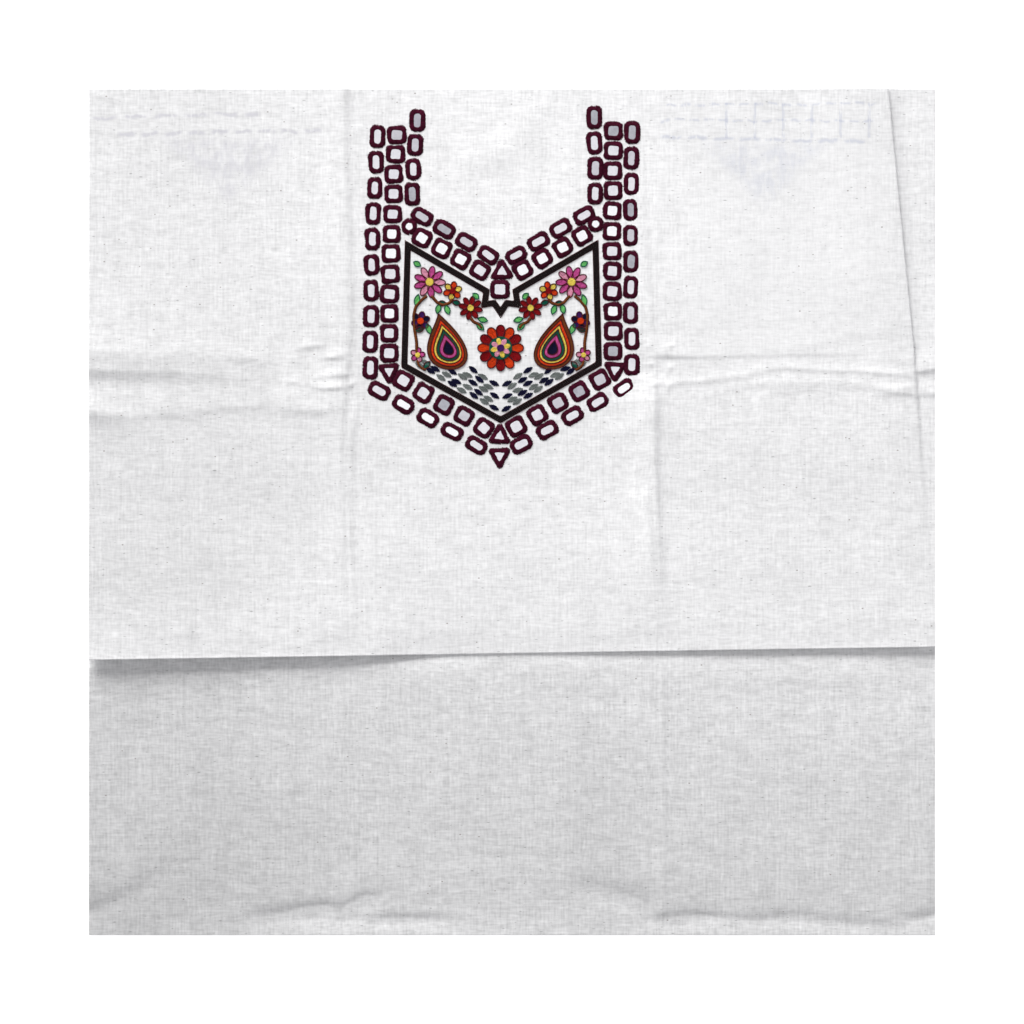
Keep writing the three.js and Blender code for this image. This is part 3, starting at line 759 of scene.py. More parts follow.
glass_points, glass_quads, glass_caps = [], [], []
for serial, setting in enumerate(s for s in settings if s["shape"] == "oblong"):
    slip = cut_glass(np.array([setting["x"], setting["y"]]), setting["turn"], math.radians(137.5 * serial))
    side = len(slip) // 3
    number = np.arange(3 * side).reshape(3, side) + sum(len(p) for p in glass_points)
    glass_points.append(slip)
    nxt = np.roll(number, -1, axis=1)
    glass_quads.append(np.stack([number[:-1], nxt[:-1], nxt[1:], number[1:]], -1).reshape(-1, 4))
    glass_caps.append(np.stack([number[0, ::-1], number[2]]))
glass_faces = [np.concatenate(glass_quads), np.concatenate(glass_caps)]
oblongs = mesh_from_arrays("mirror_oblongs", np.concatenate(glass_points), glass_faces)
oblongs.data.polygons.foreach_set("use_smooth", np.zeros(len(oblongs.data.polygons), bool))
print("oblong mirrors", len(glass_points))

# %% [markdown]
# ## The black band round the panel
#
# Three rows of chain stitch in near-black thread lie side by side, with a thin wine line at either edge.
# A chain stitch is two legs of thread that open from the last loop, so each link here is two stitches in
# a V. Two laid rows of the same thread lie beneath the chains, so that no cotton shows between them.

# %% Rows beside a path
BAND_PATH = np.array([
    [-104.2, 266.7], [-25.5, 220.8], [-27.5, 207.5], [-18, 209], [-11.4, 199.3], [-5.2, 209], [5.6, 207.5],
    [3.5, 220.8], [83.5, 267.3], [86.8, 148.3], [-11.4, 92.2], [-107.7, 146.3],
])


def beside(path, offset):
    """A closed path moved sideways, with its corners mitred."""
    before = unit(path - np.roll(path, 1, axis=0))
    after = unit(np.roll(path, -1, axis=0) - path)
    left = unit(left_of(before) + left_of(after))
    half = np.sqrt(np.maximum((1 + (before * after).sum(1)) / 2, 0.2))
    return path + left * (offset / half)[:, None]


def walk(path, spacing, closed=True):
    """Even places along a path."""
    loop = np.concatenate([path, path[:1]]) if closed else np.asarray(path)
    length = np.concatenate([[0], np.cumsum(np.linalg.norm(np.diff(loop, axis=0), axis=1))])
    count = max(2, int(round(length[-1] / spacing)))
    at = np.linspace(0, length[-1], count + 1)
    return np.stack([np.interp(at, length, loop[:, k]) for k in (0, 1)], -1)


print("the band has", len(BAND_PATH), "corners")

# %% Sew the band
class Basket:
    """Stitches gathered for one mesh."""

    def __init__(self):
        self.start, self.stop, self.wide, self.tall, self.arch, self.colour = [], [], [], [], [], []

    def add(self, start, stop, wide, tall, arch, colour, height):
        count = len(start)
        self.start.append(raised(start, height))
        self.stop.append(raised(stop, height))
        for store, value in ((self.wide, wide), (self.tall, tall), (self.arch, arch)):
            store.append(np.full(count, value))
        self.colour.append(uneven(colour, count))

    def sew(self, name, first=0, every=1):
        parts = (self.start, self.stop, self.wide, self.tall, self.arch, self.colour)
        return sew(name, *(np.concatenate(p[first::every]) for p in parts))


def chain_row(basket, path, link, spread, colour):
    places = walk(path, link)
    run = unit(np.diff(places, axis=0))
    left = left_of(run)
    for hand in (-1, 1):
        start = places[:-1] + left * hand * 0.12 - run * 0.3
        stop = places[1:] + left * hand * spread + run * 0.5
        basket.add(start, stop, 1.15, 0.9, 0.35, colour, CLOTH_TOP + 0.35)


def cord_row(basket, path, stitch, wide, colour, height, closed=True):
    places = walk(path, stitch, closed)
    run = unit(np.diff(places, axis=0))
    left = left_of(run)
    start, stop = places[:-1] - run * 0.4 - left * 0.14, places[1:] + run * 0.4 + left * 0.14
    basket.add(start, stop, wide, 0.8 * wide, 0.2, colour, height)


band = Basket()
for offset in (-0.9, 0.9):
    cord_row(band, beside(BAND_PATH, offset), 2.2, 1.5, BLACK, CLOTH_TOP + 0.1)
for offset in (-1.75, 0, 1.75):
    chain_row(band, beside(BAND_PATH, offset), 2.5, 0.75, BLACK)
for offset in (-2.75, 2.75):
    cord_row(band, beside(BAND_PATH, offset), 2.2, 0.75, CORD, CLOTH_TOP + 0.25)
band_piece = band.sew("black_band")
print("band stitches", len(band_piece.data.vertices) // (len(STITCH_ALONG) * STITCH_SIDES))

# %% [markdown]
# ## Satin filling
#
# A filled shape is sewn as satin: threads laid side by side from edge to edge. To work that out, the
# outline is turned until the threads lie level, cut by level lines, and each piece of line inside it
# becomes a stitch. A thread longer than about 7 mm would snag, so it is broken into shorter ones that
# start at different places.

# %% Fill an outline with satin stitches
FILL_SPACING = 0.78
LONGEST = 7.5


def satin(basket, outlines, way, colour, height=CLOTH_TOP + 0.3):
    """Stitches inside one outline, or between an outer and an inner one."""
    level = [turned(np.asarray(o), -way) for o in outlines]
    low, high = min(o[:, 1].min() for o in level), max(o[:, 1].max() for o in level)
    starts, stops = [], []
    for n, y in enumerate(np.arange(low + FILL_SPACING / 2, high, FILL_SPACING)):
        cuts = []
        for o in level:
            nxt = np.roll(o, -1, axis=0)
            hit = (o[:, 1] > y) != (nxt[:, 1] > y)
            rise = np.where(hit, nxt[:, 1] - o[:, 1], 1)
            cuts += list((o[:, 0] + (y - o[:, 1]) / rise * (nxt[:, 0] - o[:, 0]))[hit])
        cuts.sort()
        for left, right in zip(cuts[::2], cuts[1::2]):
            if right - left < 0.5:
                continue
            pieces = int(math.ceil((right - left) / LONGEST))
            joints = np.linspace(left, right, pieces + 1)
            joints[1:-1] += (n % 3 - 1) * 1.3
            for a, b in zip(joints[:-1], joints[1:]):
                starts.append([a - 0.2, y])
                stops.append([b + 0.2, y])
    if starts:
        starts, stops = turned(np.array(starts), way), turned(np.array(stops), way)
        basket.add(starts, stops, 1.0, 0.75, 0.25, colour, height)


print("satin rows are", FILL_SPACING, "mm apart")


# %% [markdown]
# ## Motifs of the panel
#
# The panel is a generic design in the cloth's own colours: a many-petalled rosette in the middle, a
# striped paisley at either side, sprigs with leaves and flowers in the upper corners, and chevrons of
# short pads towards the lower point. Each motif is an outline from a formula, filled with satin and
# edged with a thin dark cord.

# %% Outlines of petal, leaf, disc and paisley
def petal(length, wide, waist=0.5, points=28):
    """A petal from its foot upward; a larger waist draws the foot in more."""
    t = np.linspace(0, 2 * math.pi, points, endpoint=False)
    along = (1 - np.cos(t)) / 2
    return np.stack([wide / 2 * np.sin(t) * np.sin(t / 2) ** waist, along * length], -1)


def leaf(length, wide, points=24):
    t = np.linspace(0, 1, points // 2, endpoint=False)
    swell = np.sin(math.pi * t) ** 0.9 * wide / 2
    right = np.stack([swell, t * length], -1)
    t_back = np.linspace(1, 0, points // 2, endpoint=False)
    left = np.stack([-np.sin(math.pi * t_back) ** 0.9 * wide / 2, t_back * length], -1)
    return np.concatenate([right, left])


def disc(radius, points=26):
    t = np.linspace(0, 2 * math.pi, points, endpoint=False)
    return radius * np.stack([np.cos(t), np.sin(t)], -1)


def paisley(size, hook, points=56):
    """A drop with its point at the top, bent over to one side."""
    t = np.linspace(0, 2 * math.pi, points, endpoint=False)
    x = 1.25 * size * np.sin(t) * np.sin(t / 2) ** 1.2
    y = 1.25 * size * np.cos(t)
    bend = ((y / size + 1.25) / 2.5) ** 2.4
    return np.stack([x + hook * bend, y - 0.12 * hook * bend], -1)


def set_at(outline, x, y, turn=0, flip=1):
    return turned(outline, turn) * np.array([flip, 1]) + np.array([x, y])


AXIS = -11.4
LAYER_RISE = 0.5
panel = Basket()


def motif(outlines, way, colour, edge=None, layer=0):
    height = CLOTH_TOP + 0.3 + LAYER_RISE * layer
    satin(panel, outlines, way, colour, height)
    if edge is not None:
        cord_row(panel, outlines[0], 1.9, 1.05, edge, height + 0.4)


def flower(x, y, count, length, wide, colours, edge, heart, heart_size, turn=0, layer=0, waist=0.5):
    for k in range(count):
        spin = 360 * k / count + turn
        blade = set_at(petal(length, wide, waist), x, y, spin)
        motif([blade], spin + 90, colours[k % len(colours)], edge, layer)
    motif([disc(heart_size) + np.array([x, y])], 20, heart, None, layer + 2)


print("the panel is even about x", AXIS)

# %% Sew the rosette and the paisleys
flower(AXIS, 164, 12, 23, 13, [DARK_RED, ORANGE], CORD, TEAL, 11.5, waist=1.7)
flower(AXIS, 164, 8, 10, 5.4, [YELLOW, PALE_ROSE], None, PURPLE, 3.6, 15, 3)
PAISLEY_BANDS = [
    dict(scale=1.0, colour=BROWN), dict(scale=0.84, colour=ORANGE), dict(scale=0.7, colour=YELLOW),
    dict(scale=0.57, colour=TEAL), dict(scale=0.43, colour=ROSE), dict(scale=0.26, colour=NAVY),
]
PAISLEY_HEART = np.array([0, -8.0])


def paisley_band(scale, flip):
    drop = (paisley(22, 18) - PAISLEY_HEART) * scale + PAISLEY_HEART
    return set_at(drop, AXIS + flip * 50, 170, 12, flip)


for flip in (-1, 1):
    for n, ring in enumerate(PAISLEY_BANDS):
        outlines = [paisley_band(ring["scale"], flip)]
        if n + 1 < len(PAISLEY_BANDS):
            outlines.append(paisley_band(PAISLEY_BANDS[n + 1]["scale"], flip))
        motif(outlines, flip * (30 + 12 * n), ring["colour"], CORD)
print("stitches so far", sum(len(s) for s in panel.start))

# %% Sew the sprigs
BLOSSOMS = [
    dict(u=71, y=230, petals=9, long=16, wide=7.2, colours=[ROSE, PALE_ROSE, ROSE], heart=YELLOW, size=3.8),
    dict(u=30, y=204, petals=8, long=12, wide=5.8, colours=[DARK_RED], heart=YELLOW, size=3.0),
    dict(u=80, y=191, petals=6, long=9.5, wide=6.8, colours=[PURPLE, NAVY], heart=ORANGE, size=3.2),
    dict(u=48, y=221, petals=6, long=9.5, wide=6.6, colours=[ORANGE, YELLOW], heart=DARK_RED, size=3.0),
    dict(u=83, y=157, petals=5, long=7.5, wide=5.8, colours=[ROSE, PALE_ROSE], heart=YELLOW, size=2.4),
]
STEMS = [
    dict(u=[74, 80, 85, 87, 86, 84, 84], y=[216, 211, 205, 196, 182, 170, 160]),
    dict(u=[48, 51, 57, 63, 69], y=[213, 209, 207, 209, 216]),
    dict(u=[30, 27, 22, 19], y=[194, 190, 188, 184]),
    dict(u=[83, 82, 79, 75], y=[151, 147, 144, 142]),
]
LEAVES = [
    dict(u=85, y=206, turn=14, long=12), dict(u=61, y=208, turn=-165, long=10),
    dict(u=86, y=181, turn=75, long=10), dict(u=55, y=207, turn=160, long=10),
    dict(u=24, y=189, turn=135, long=10), dict(u=77, y=143, turn=40, long=10),
    dict(u=80, y=246, turn=-60, long=8), dict(u=22, y=213, turn=-45, long=8),
    dict(u=40, y=208, turn=-75, long=9), dict(u=70, y=178, turn=-20, long=11),
    dict(u=13, y=191, turn=-75, long=10), dict(u=63, y=209, turn=95, long=9),
]
for flip in (-1, 1):
    for stem in STEMS:
        line = np.stack([AXIS + flip * np.array(stem["u"], float), np.array(stem["y"], float)], -1)
        cord_row(panel, line, 2.4, 4.0, CORD, CLOTH_TOP - 0.6, closed=False)
        cord_row(panel, line, 2.2, 2.6, BROWN, CLOTH_TOP + 0.5, closed=False)
    for bloom in BLOSSOMS:
        flower(
            AXIS + flip * bloom["u"], bloom["y"], bloom["petals"], bloom["long"], bloom["wide"],
            bloom["colours"], CORD, bloom["heart"], bloom["size"], 12 * flip)
    for n, row in enumerate(LEAVES):
        spin = flip * row["turn"]
        blade = set_at(leaf(row["long"], 5.4), AXIS + flip * row["u"], row["y"], spin)
        motif([blade], spin + 60, (GREEN, TEAL)[n % 3 == 2], (TEAL, CORD)[n % 3 == 2])
print("stitches so far", sum(len(s) for s in panel.start))

# %% Chevrons towards the lower point
LOW_LEFT, LOW_POINT, LOW_RIGHT = BAND_PATH[11], BAND_PATH[10], BAND_PATH[9]
PAD = leaf(11.4, 4.6, 22)
PAD_STEP = 12.2
ROW_RISE = 6.3
for n in range(5):
    for corner in (LOW_LEFT, LOW_RIGHT):
        run = corner - LOW_POINT
        length = np.linalg.norm(run)
        run = run / length
        spin = math.degrees(math.atan2(run[1], run[0])) - 90
        for k in range(int(length / PAD_STEP)):
            far = 1.5 + PAD_STEP * (k + 0.5 * (n % 2))
            if far > length - 18 - 4 * n or (n > 1 and far > 76 - 12 * n):
                continue
            centre = LOW_POINT + [0, 8.4 + ROW_RISE * n] + run * far + chance.normal(0, 0.4, 2)
            tilt = spin + 5 * chance.normal()
            satin(panel, [set_at(PAD, centre[0], centre[1], tilt)], tilt + 90, (NAVY, GREY)[(k + n) % 2])
panel_pieces = [panel.sew("panel_embroidery_1", 0, 2), panel.sew("panel_embroidery_2", 1, 2)]
print("panel stitches", sum(len(s) for s in panel.start))

# %% [markdown]
# ## Shader maths in plain Python
#
# Blender's finishes are graphs of nodes. Clicking them together in code is wordy, so a small class wraps
# one socket and lets sums be written as sums: each operator adds a Math node. Everything else goes
# through `node`, which takes a node's type, its settings and what goes into its sockets.

# %% A socket that can be added and multiplied
class Strand:
    """One output socket of a finish."""

    def __init__(self, tree, socket):
        self.tree, self.socket = tree, socket

    def maths(self, operation, first, second=None):
        inputs = {0: first} if second is None else {0: first, 1: second}
        return node(self.tree, "ShaderNodeMath", {"operation": operation}, inputs)

    def __add__(self, other):
        return self.maths("ADD", self, other)

    def __radd__(self, other):
        return self.maths("ADD", other, self)

    def __sub__(self, other):
        return self.maths("SUBTRACT", self, other)

    def __rsub__(self, other):
        return self.maths("SUBTRACT", other, self)

    def __mul__(self, other):
        return self.maths("MULTIPLY", self, other)

    def __rmul__(self, other):
        return self.maths("MULTIPLY", other, self)

    def __truediv__(self, other):
        return self.maths("DIVIDE", self, other)

    def __abs__(self):
        return self.maths("ABSOLUTE", self)

    def sine(self):
        return self.maths("SINE", self)

    def fraction(self):
        return self.maths("FRACT", self)


def node(tree, kind, settings=None, inputs=None, output=0):
    """Adds a node: settings first, then a value or a strand for each socket."""
    made = tree.nodes.new(kind)
    for name, value in (settings or {}).items():
        setattr(made, name, value)
    for name, value in (inputs or {}).items():
        if isinstance(value, Strand):
            tree.links.new(value.socket, made.inputs[name])
        else:
            made.inputs[name].default_value = value
    return Strand(tree, made.outputs[output])


def ease(value, low, high, first=0.0, last=1.0):
    """A soft step of a strand between two values."""
    return node(value.tree, "ShaderNodeMapRange", {"interpolation_type": "SMOOTHSTEP"}, {
        "Value": value, "From Min": low, "From Max": high, "To Min": first, "To Max": last})


def mix_colour(tree, share, first, second):
    return node(tree, "ShaderNodeMix", {"data_type": "RGBA"}, {0: share, 6: first, 7: second}, 2)


def axes(vector):
    """The x, y and z of a vector, as three strands."""
    split = node(vector.tree, "ShaderNodeSeparateXYZ", None, {0: vector})
    return [Strand(vector.tree, socket) for socket in split.socket.node.outputs]


def finish_named(name, **sockets):
    """A new finish with its fixed values set on the shader's own sockets."""
    finish = bpy.data.materials.new(name)
    finish.use_nodes = True
    tree = finish.node_tree
    shader = tree.nodes["Principled BSDF"]
    for socket, value in sockets.items():
        shader.inputs[socket.replace("_", " ")].default_value = value
    return finish, tree, shader


def feed(tree, shader, socket, strand):
    tree.links.new(strand.socket, shader.inputs[socket])


# %% [markdown]
# ## Slubby cotton
#
# The cotton is a plain weave of uneven yarn. Close to, each crossing of warp and weft is a small bump;
# from further off you see fine upright lines, short grey thick places along the weft, and a few dark
# specks of seed husk. All of it is worked out from the place on the cloth, so no unwrapping is needed.

# %% Cotton
YARN = 0.0009
cotton, tree, shader = finish_named("slubby_cotton", Roughness=0.9, Specular_IOR_Level=0.2)
place = node(tree, "ShaderNodeTexCoord", output=3)
x, y, _ = axes(place)


def grain(scale_x, scale_y, detail, shift):
    """Noise stretched along one yarn, from 0 to 1."""
    where = node(tree, "ShaderNodeCombineXYZ", None, {0: x * scale_x, 1: y * scale_y, 2: shift})
    return node(tree, "ShaderNodeTexNoise", None, {"Vector": where, "Scale": 1.0, "Detail": detail})


upright = grain(410, 13, 1.0, 7.0)
level = grain(52, 420, 1.0, 11.0)
warp = grain(480, 120, 0.0, 19.0)
weft = grain(130, 500, 0.0, 23.0)
clouds = grain(34, 84, 2.0, 29.0)
drift = grain(46, 180, 1.0, 41.0)
slub = ease(grain(190, 640, 0.0, 17.0), 0.75, 0.87)
weave = (x * (2 * math.pi / YARN) + upright * 9).sine() * (y * (2 * math.pi / YARN) + level * 9).sine()
cell = node(tree, "ShaderNodeTexVoronoi", None, {
    "Vector": node(tree, "ShaderNodeCombineXYZ", None, {0: x, 1: y * 1.6}), "Scale": 62.0})
chosen = axes(Strand(tree, cell.socket.node.outputs["Color"]))[0]
speck = ease(cell, 0.075, 0.04) * ease(chosen, 0.55, 0.62)
print("yarns are", YARN / MM, "mm apart")

# %% [markdown]
# The cotton is thin enough for the embroidered sleeve bands folded beneath it to show through as a faint
# tint. They are part of the cotton's colour: rows of soft dashes and a drooping cluster below them, at
# either upper corner.

# %% Faint bands showing through
def strip(value, low, high, soft):
    return ease(value, low - soft, low + soft) * ease(value, high + soft, high - soft)


def dash_row(row):
    cycle = abs(((x - row["x1"]) / row["step"]).fraction() - 0.5)
    dash = ease(cycle, row["filled"] / 2 + 0.12, row["filled"] / 2 - 0.12)
    line = y - (x - row["x1"]) * ((row["y2"] - row["y1"]) / (row["x2"] - row["x1"])) + (blots - 0.5) * 0.008
    return strip(line, row["y1"] - row["half"], row["y1"] + row["half"], 0.0014) * strip(
        x, row["x1"], row["x2"], 0.004) * dash * ease(flecks, 0.28, 0.5, 0.3, 1.0)


def cluster(x_mid, y_tip, y_top, half):
    slope = half / (y_top - y_tip)
    inside = ease(abs(x - x_mid) - (y - y_tip) * slope, 0.012, -0.012)
    inside = inside * ease(y, y_top + 0.006, y_top - 0.006)
    return inside * ease(blots, 0.36, 0.6, 0.25, 1.0) * ease(flecks, 0.25, 0.6, 0.5, 1.0)


blots = grain(90, 65, 1.0, 37.0)
flecks = grain(330, 90, 1.0, 43.0)
LEFT_ROWS = [
    dict(x1=-0.423, y1=0.394, x2=-0.252, y2=0.3985, half=0.0015, step=0.0305, filled=0.72),
    dict(x1=-0.397, y1=0.3775, x2=-0.184, y2=0.3815, half=0.0019, step=0.0233, filled=0.7),
]
RIGHT_ROWS = [
    dict(x1=0.152, y1=0.4075, x2=0.362, y2=0.4085, half=0.0011, step=0.0145, filled=0.66),
    dict(x1=0.146, y1=0.392, x2=0.362, y2=0.391, half=0.0011, step=0.0145, filled=0.66),
    dict(x1=0.146, y1=0.375, x2=0.356, y2=0.370, half=0.0016, step=0.0262, filled=0.74),
]
UPRIGHTS = dict(x1=0.200, x2=0.364, y1=0.374, y2=0.409, step=0.0285)
ghost_left = sum((dash_row(row) for row in LEFT_ROWS), 0.7 * cluster(-0.283, 0.312, 0.372, 0.064))
bar = abs(((x - UPRIGHTS["x1"]) / UPRIGHTS["step"]).fraction() - 0.5)
bars = ease(bar, 0.07, 0.03) * strip(x, UPRIGHTS["x1"], UPRIGHTS["x2"], 0.002) * strip(
    y, UPRIGHTS["y1"], UPRIGHTS["y2"], 0.001)
bars = bars * ease(flecks, 0.35, 0.55, 0.1, 0.8)
ghost_right = sum((dash_row(row) for row in RIGHT_ROWS), bars + 0.6 * cluster(0.252, 0.307, 0.367, 0.058))
print("rows that show through", len(LEFT_ROWS) + len(RIGHT_ROWS))

# %% [markdown]
# The cotton's colour carries painted light and shade. Where the cloth lies in one layer below the pleat it
# is greyer, more so to the left and towards the lower edge; under the propped left edge that painted shade
# starts further down, so the cast shadow right under the edge reads lighter. The patches below paint broad
# light and shade over the cloth, and the colour is painted darker at the left and lighter at the right.

# %% Colour and bump of the cotton
# Painted light and shade: each patch makes the cotton lighter or darker by its lift.
PAINTED_LIGHT_AND_SHADE = [
    dict(x1=-0.50, x2=-0.19, y1=-0.09, y2=0.06, lift=-0.05),
    dict(x1=-0.50, x2=-0.27, y1=-0.12, y2=-0.02, lift=-0.10),
    dict(x1=0.20, x2=0.50, y1=-0.11, y2=0.05, lift=-0.05),
    dict(x1=-0.50, x2=-0.25, y1=0.09, y2=0.19, lift=-0.05),
    dict(x1=-0.27, x2=0.19, y1=0.22, y2=0.50, lift=0.04),
    dict(x1=-0.10, x2=0.07, y1=0.27, y2=0.50, lift=0.02),
    dict(x1=0.16, x2=0.38, y1=0.16, y2=0.36, lift=0.02),
    dict(x1=0.05, x2=0.50, y1=-0.50, y2=-0.22, lift=-0.05),
    dict(x1=-0.50, x2=-0.20, y1=-0.30, y2=-0.16, lift=0.03),
    dict(x1=-0.32, x2=0.12, y1=-0.36, y2=-0.19, lift=-0.05),
    dict(x1=-0.34, x2=0.50, y1=-0.36, y2=-0.27, lift=-0.05),
]
# Where the painted shade below the pleat reaches; under the propped left edge it starts further down.
below = ease(y, -0.138, -0.146)
propped = ease(x, 0.0, -0.2)
layers = below * (1 - propped) + ease(y, -0.142, -0.172) * propped
# Painted shade: greyer below the pleat, more to the left and towards the lower edge.
painted_shade_below_pleat = layers * (0.105 + 0.13 * ease(x, -0.12, -0.40) + 0.08 * ease(y, -0.25, -0.42))
yarns = 0.18 * (upright - 0.5) + 0.16 * (level - 0.5) + 0.17 * (warp - 0.5) + 0.17 * (weft - 0.5)
yarns = yarns + 0.16 * (clouds - 0.5) + 0.19 * (drift - 0.5)
bleached = strip(x, 0.17, 0.39, 0.04) * strip(y, 0.15, 0.40, 0.04)
tone = 0.885 + yarns * (1 - 0.35 * bleached) * (1 + 0.25 * below)
# The last factor is painted light: the cotton darker at the left and lighter at the right.
tone = (tone - 0.34 * slub) * (1 - painted_shade_below_pleat) * ease(x, -0.4, 0.3, 0.965, 1.02)
# Lay the painted light and shade of each patch.
for patch in PAINTED_LIGHT_AND_SHADE:
    inside = strip(x, patch["x1"], patch["x2"], 0.05) * strip(y, patch["y1"], patch["y2"], 0.05)
    tone = tone * (1 + patch["lift"] * inside)
plain = node(tree, "ShaderNodeCombineColor", None, {0: tone * 0.994, 1: tone * 0.994, 2: tone})
tinted = mix_colour(tree, 0.75 * ghost_right, plain, (0.66, 0.68, 0.76, 1))
tinted = mix_colour(tree, 0.8 * ghost_left, tinted, (0.66, 0.655, 0.70, 1))
husk = mix_colour(tree, speck * 0.7, tinted, (0.20, 0.16, 0.14, 1))
feed(tree, shader, "Base Color", husk)
relief = weave * 0.2 + upright * 0.7 + level * 0.8
bump = node(tree, "ShaderNodeBump", None, {"Strength": 0.3, "Distance": 0.0004, "Height": relief})
feed(tree, shader, "Normal", bump)
cloth.data.materials.append(cotton)
print("cotton nodes", len(tree.nodes))

# %% [markdown]
# ## Embroidery thread
#
# The thread is soft twisted cotton with a low shine. Its colour is stored on each stitch, and a fine
# slanted ripple along the stitch stands for the twist of the two plies. The ripple bumps the surface and
# also paints shade into the colour in the grooves between the plies, with a little painted light on their
# crests.

# %% Thread
thread, tree, shader = finish_named(
    "twisted_thread", Roughness=0.75, Sheen_Weight=0.02, Sheen_Roughness=0.5, Specular_IOR_Level=0.07)
colour = node(tree, "ShaderNodeVertexColor", {"layer_name": "thread"})
ribbon = node(tree, "ShaderNodeUVMap", {"uv_map": "along"})
along, around, _ = axes(ribbon)
ply = (along * 9.0 + around * (4 * math.pi)).sine()
# Painted shade and light of the twist: darker in the grooves, a little lighter on the crests.
shade = ease(ply, -1.0, 1.0, 0.82, 1.06)
twist_painted_shade = node(tree, "ShaderNodeMix", {"data_type": "RGBA", "blend_type": "MULTIPLY"}, {
    0: 1.0, 6: colour, 7: node(tree, "ShaderNodeCombineColor", None, {0: shade, 1: shade, 2: shade})}, 2)
feed(tree, shader, "Base Color", twist_painted_shade)
twist = node(tree, "ShaderNodeBump", None, {"Strength": 0.5, "Distance": 0.0002, "Height": ply})
feed(tree, shader, "Normal", twist)
sewn = [*ring_pieces, band_piece, *panel_pieces]
for piece in sewn:
    piece.data.materials.append(thread)
print("thread on", len(sewn), "pieces")

# %% [markdown]
# ## Mirror glass
#
# Hand-silvered mirror is a little cloudy. Some mirrors look bright, some pale and a few grey from what they
# reflect; that reflection is painted into the silver's own colour. Four finishes share one recipe, and each
# mirror takes one of them.

# %% Silver
def silvered(name, bright, dull):
    finish, tree, shader = finish_named(name, Metallic=1.0, Coat_Weight=0.3)
    place = node(tree, "ShaderNodeTexCoord", output=3)
    cloudy = node(tree, "ShaderNodeTexNoise", None, {"Vector": place, "Scale": 160.0, "Detail": 4.0})
    feed(tree, shader, "Base Color", mix_colour(tree, ease(cloudy, 0.3, 0.75), bright, dull))
    feed(tree, shader, "Roughness", ease(cloudy, 0.2, 0.8, 0.05, 0.16))
    return finish


# Painted reflection: each finish's silver colour stands for a brighter or darker reflection.
FINISHES = [
    silvered("silver_painted_pale_reflection", (0.80, 0.79, 0.82, 1), (0.73, 0.72, 0.76, 1)),
    silvered("silver_painted_bright_reflection", (0.97, 0.97, 0.98, 1), (0.93, 0.93, 0.95, 1)),
    silvered("silver_painted_grey_reflection", (0.62, 0.61, 0.65, 1), (0.55, 0.54, 0.58, 1)),
    silvered("silver_painted_dull_reflection", (0.46, 0.46, 0.50, 1), (0.38, 0.38, 0.42, 1)),
]
# Which mirrors take a brighter, grey or dull painted reflection; all others take the pale one.
SQUARE_PICKS = [
    set(), {6, 7, 10, 17, 18, 22, 25, 26, 27, 29, 30, 31, 32}, {1, 37, 39, 41}, {13, 24, 36, 40},
]
OBLONG_PICKS = [set(), {37, 38, 39, 41}, {11, 14, 17, 21, 26, 28, 30}, {10, 13, 15, 20, 23, 24, 29}]


def picked(serial, picks):
    return next((k for k, chosen in enumerate(picks) if serial in chosen), 0)


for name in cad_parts:
    if not name.startswith("mirror"):
        continue
    kind, serial = name.split("_")[1], int(name.split("_")[2])
    pick = picked(serial, SQUARE_PICKS) if kind == "square" else 1 if kind == "disc" else 0
    solid = bpy.data.objects[name]
    solid.material_slots[0].material = FINISHES[pick]
for finish in FINISHES:
    oblongs.data.materials.append(finish)
faces_each = len(oblongs.data.polygons) // len(glass_points)
quads_each = faces_each - 2
choice = np.zeros(len(oblongs.data.polygons), np.int32)
for serial in range(len(glass_points)):
    pick = picked(serial, OBLONG_PICKS)
    choice[serial * quads_each:(serial + 1) * quads_each] = pick
    caps = len(glass_points) * quads_each + 2 * serial
    choice[caps:caps + 2] = pick
oblongs.data.polygons.foreach_set("material_index", choice)
print("mirror finishes set")

# %% [markdown]
# ## What rides on what
#
# A cloth has no joints, so every piece belongs to the one body. The fine sheet stands for the plain
# solid of the cloth, and that solid is hidden.

for piece in (cloth, oblongs, *sewn):
    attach(piece, "root")
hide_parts("fabric")

# %% [markdown]
# ## Floor, light and camera
#
# The cloth was photographed from straight above, on white, with soft daylight from the top of the
# picture. A large soft light beyond the neck edge gives that slant, a bright patch of sky overhead fills
# the mirrors, and the camera looks down from 8 m, so that the heights of the folds hardly shift them.

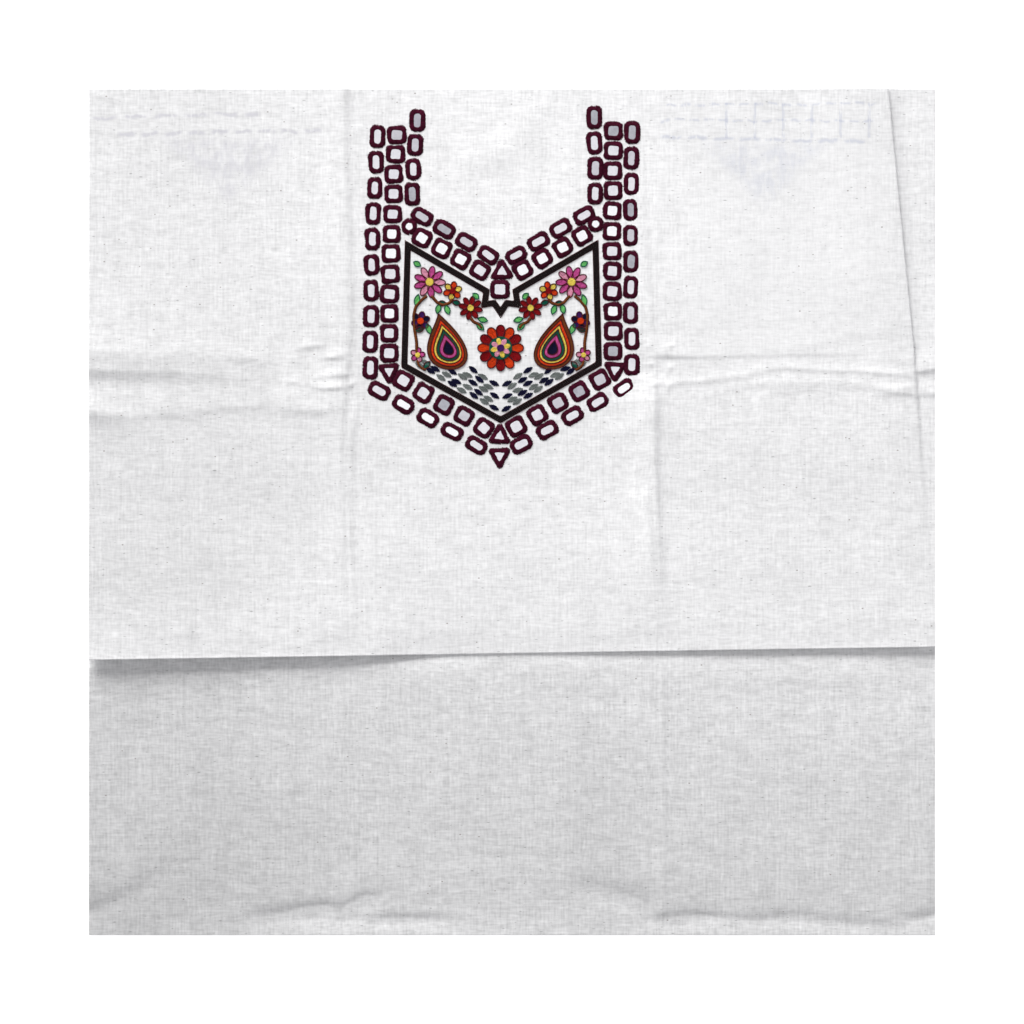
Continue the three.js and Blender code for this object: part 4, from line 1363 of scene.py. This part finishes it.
# %% Floor
bpy.ops.mesh.primitive_plane_add(size=14, location=(0, 0, -0.0006))
floor = bpy.context.object
floor.name = "table_top"
white, _, _ = finish_named(
    "white_table", Roughness=0.9, Base_Color=(0.93, 0.93, 0.93, 1), Emission_Color=(1, 1, 1, 1),
    Emission_Strength=0.6)
floor.data.materials.append(white)
print("floor", [round(v, 2) for v in floor.dimensions])

# %% Light
sky = bpy.data.worlds.new("soft_sky")
bpy.context.scene.world = sky
sky.use_nodes = True
tree = sky.node_tree
aim = node(tree, "ShaderNodeTexCoord", output=0)
height = axes(aim)[2]
glow = mix_colour(tree, ease(height, 0.90, 0.999), (0.40, 0.40, 0.41, 1), (1.0, 1.0, 1.02, 1))
tree.links.new(glow.socket, tree.nodes["Background"].inputs["Color"])
tree.nodes["Background"].inputs["Strength"].default_value = 1.0


def soft_light(name, place, aim_at, wide, high, power, colour):
    lamp = bpy.data.lights.new(name, "AREA")
    lamp.shape = "RECTANGLE"
    lamp.size, lamp.size_y, lamp.energy, lamp.color = wide, high, power, colour
    holder = bpy.data.objects.new(name, lamp)
    bpy.context.scene.collection.objects.link(holder)
    holder.location = place
    way = np.array(aim_at, float) - np.array(place, float)
    flat = math.hypot(way[0], way[1])
    holder.rotation_euler = (math.atan2(flat, -way[2]), 0, math.atan2(way[1], way[0]) - math.pi / 2)
    return holder


window = soft_light("window", (-3.6, 10.2, 5.2), (0, 0, 0), 7.0, 5.0, 1760, (1.0, 0.995, 0.985))
print("window stands", round(window.location.length, 1), "m away")

# %% Camera
PIXELS_WIDE = 1024
CAMERA_HIGH = 8.0
view = bpy.data.cameras.new("overhead")
view.sensor_width = 36
view.lens = view.sensor_width * CAMERA_HIGH / (PIXELS_WIDE * MM)
overhead = bpy.data.objects.new("overhead", view)
overhead.location = (0, 0, CAMERA_HIGH)
bpy.context.scene.collection.objects.link(overhead)
bpy.context.scene.camera = overhead
bpy.context.scene.view_settings.view_transform = "Standard"
print("lens", round(view.lens, 1), "mm")
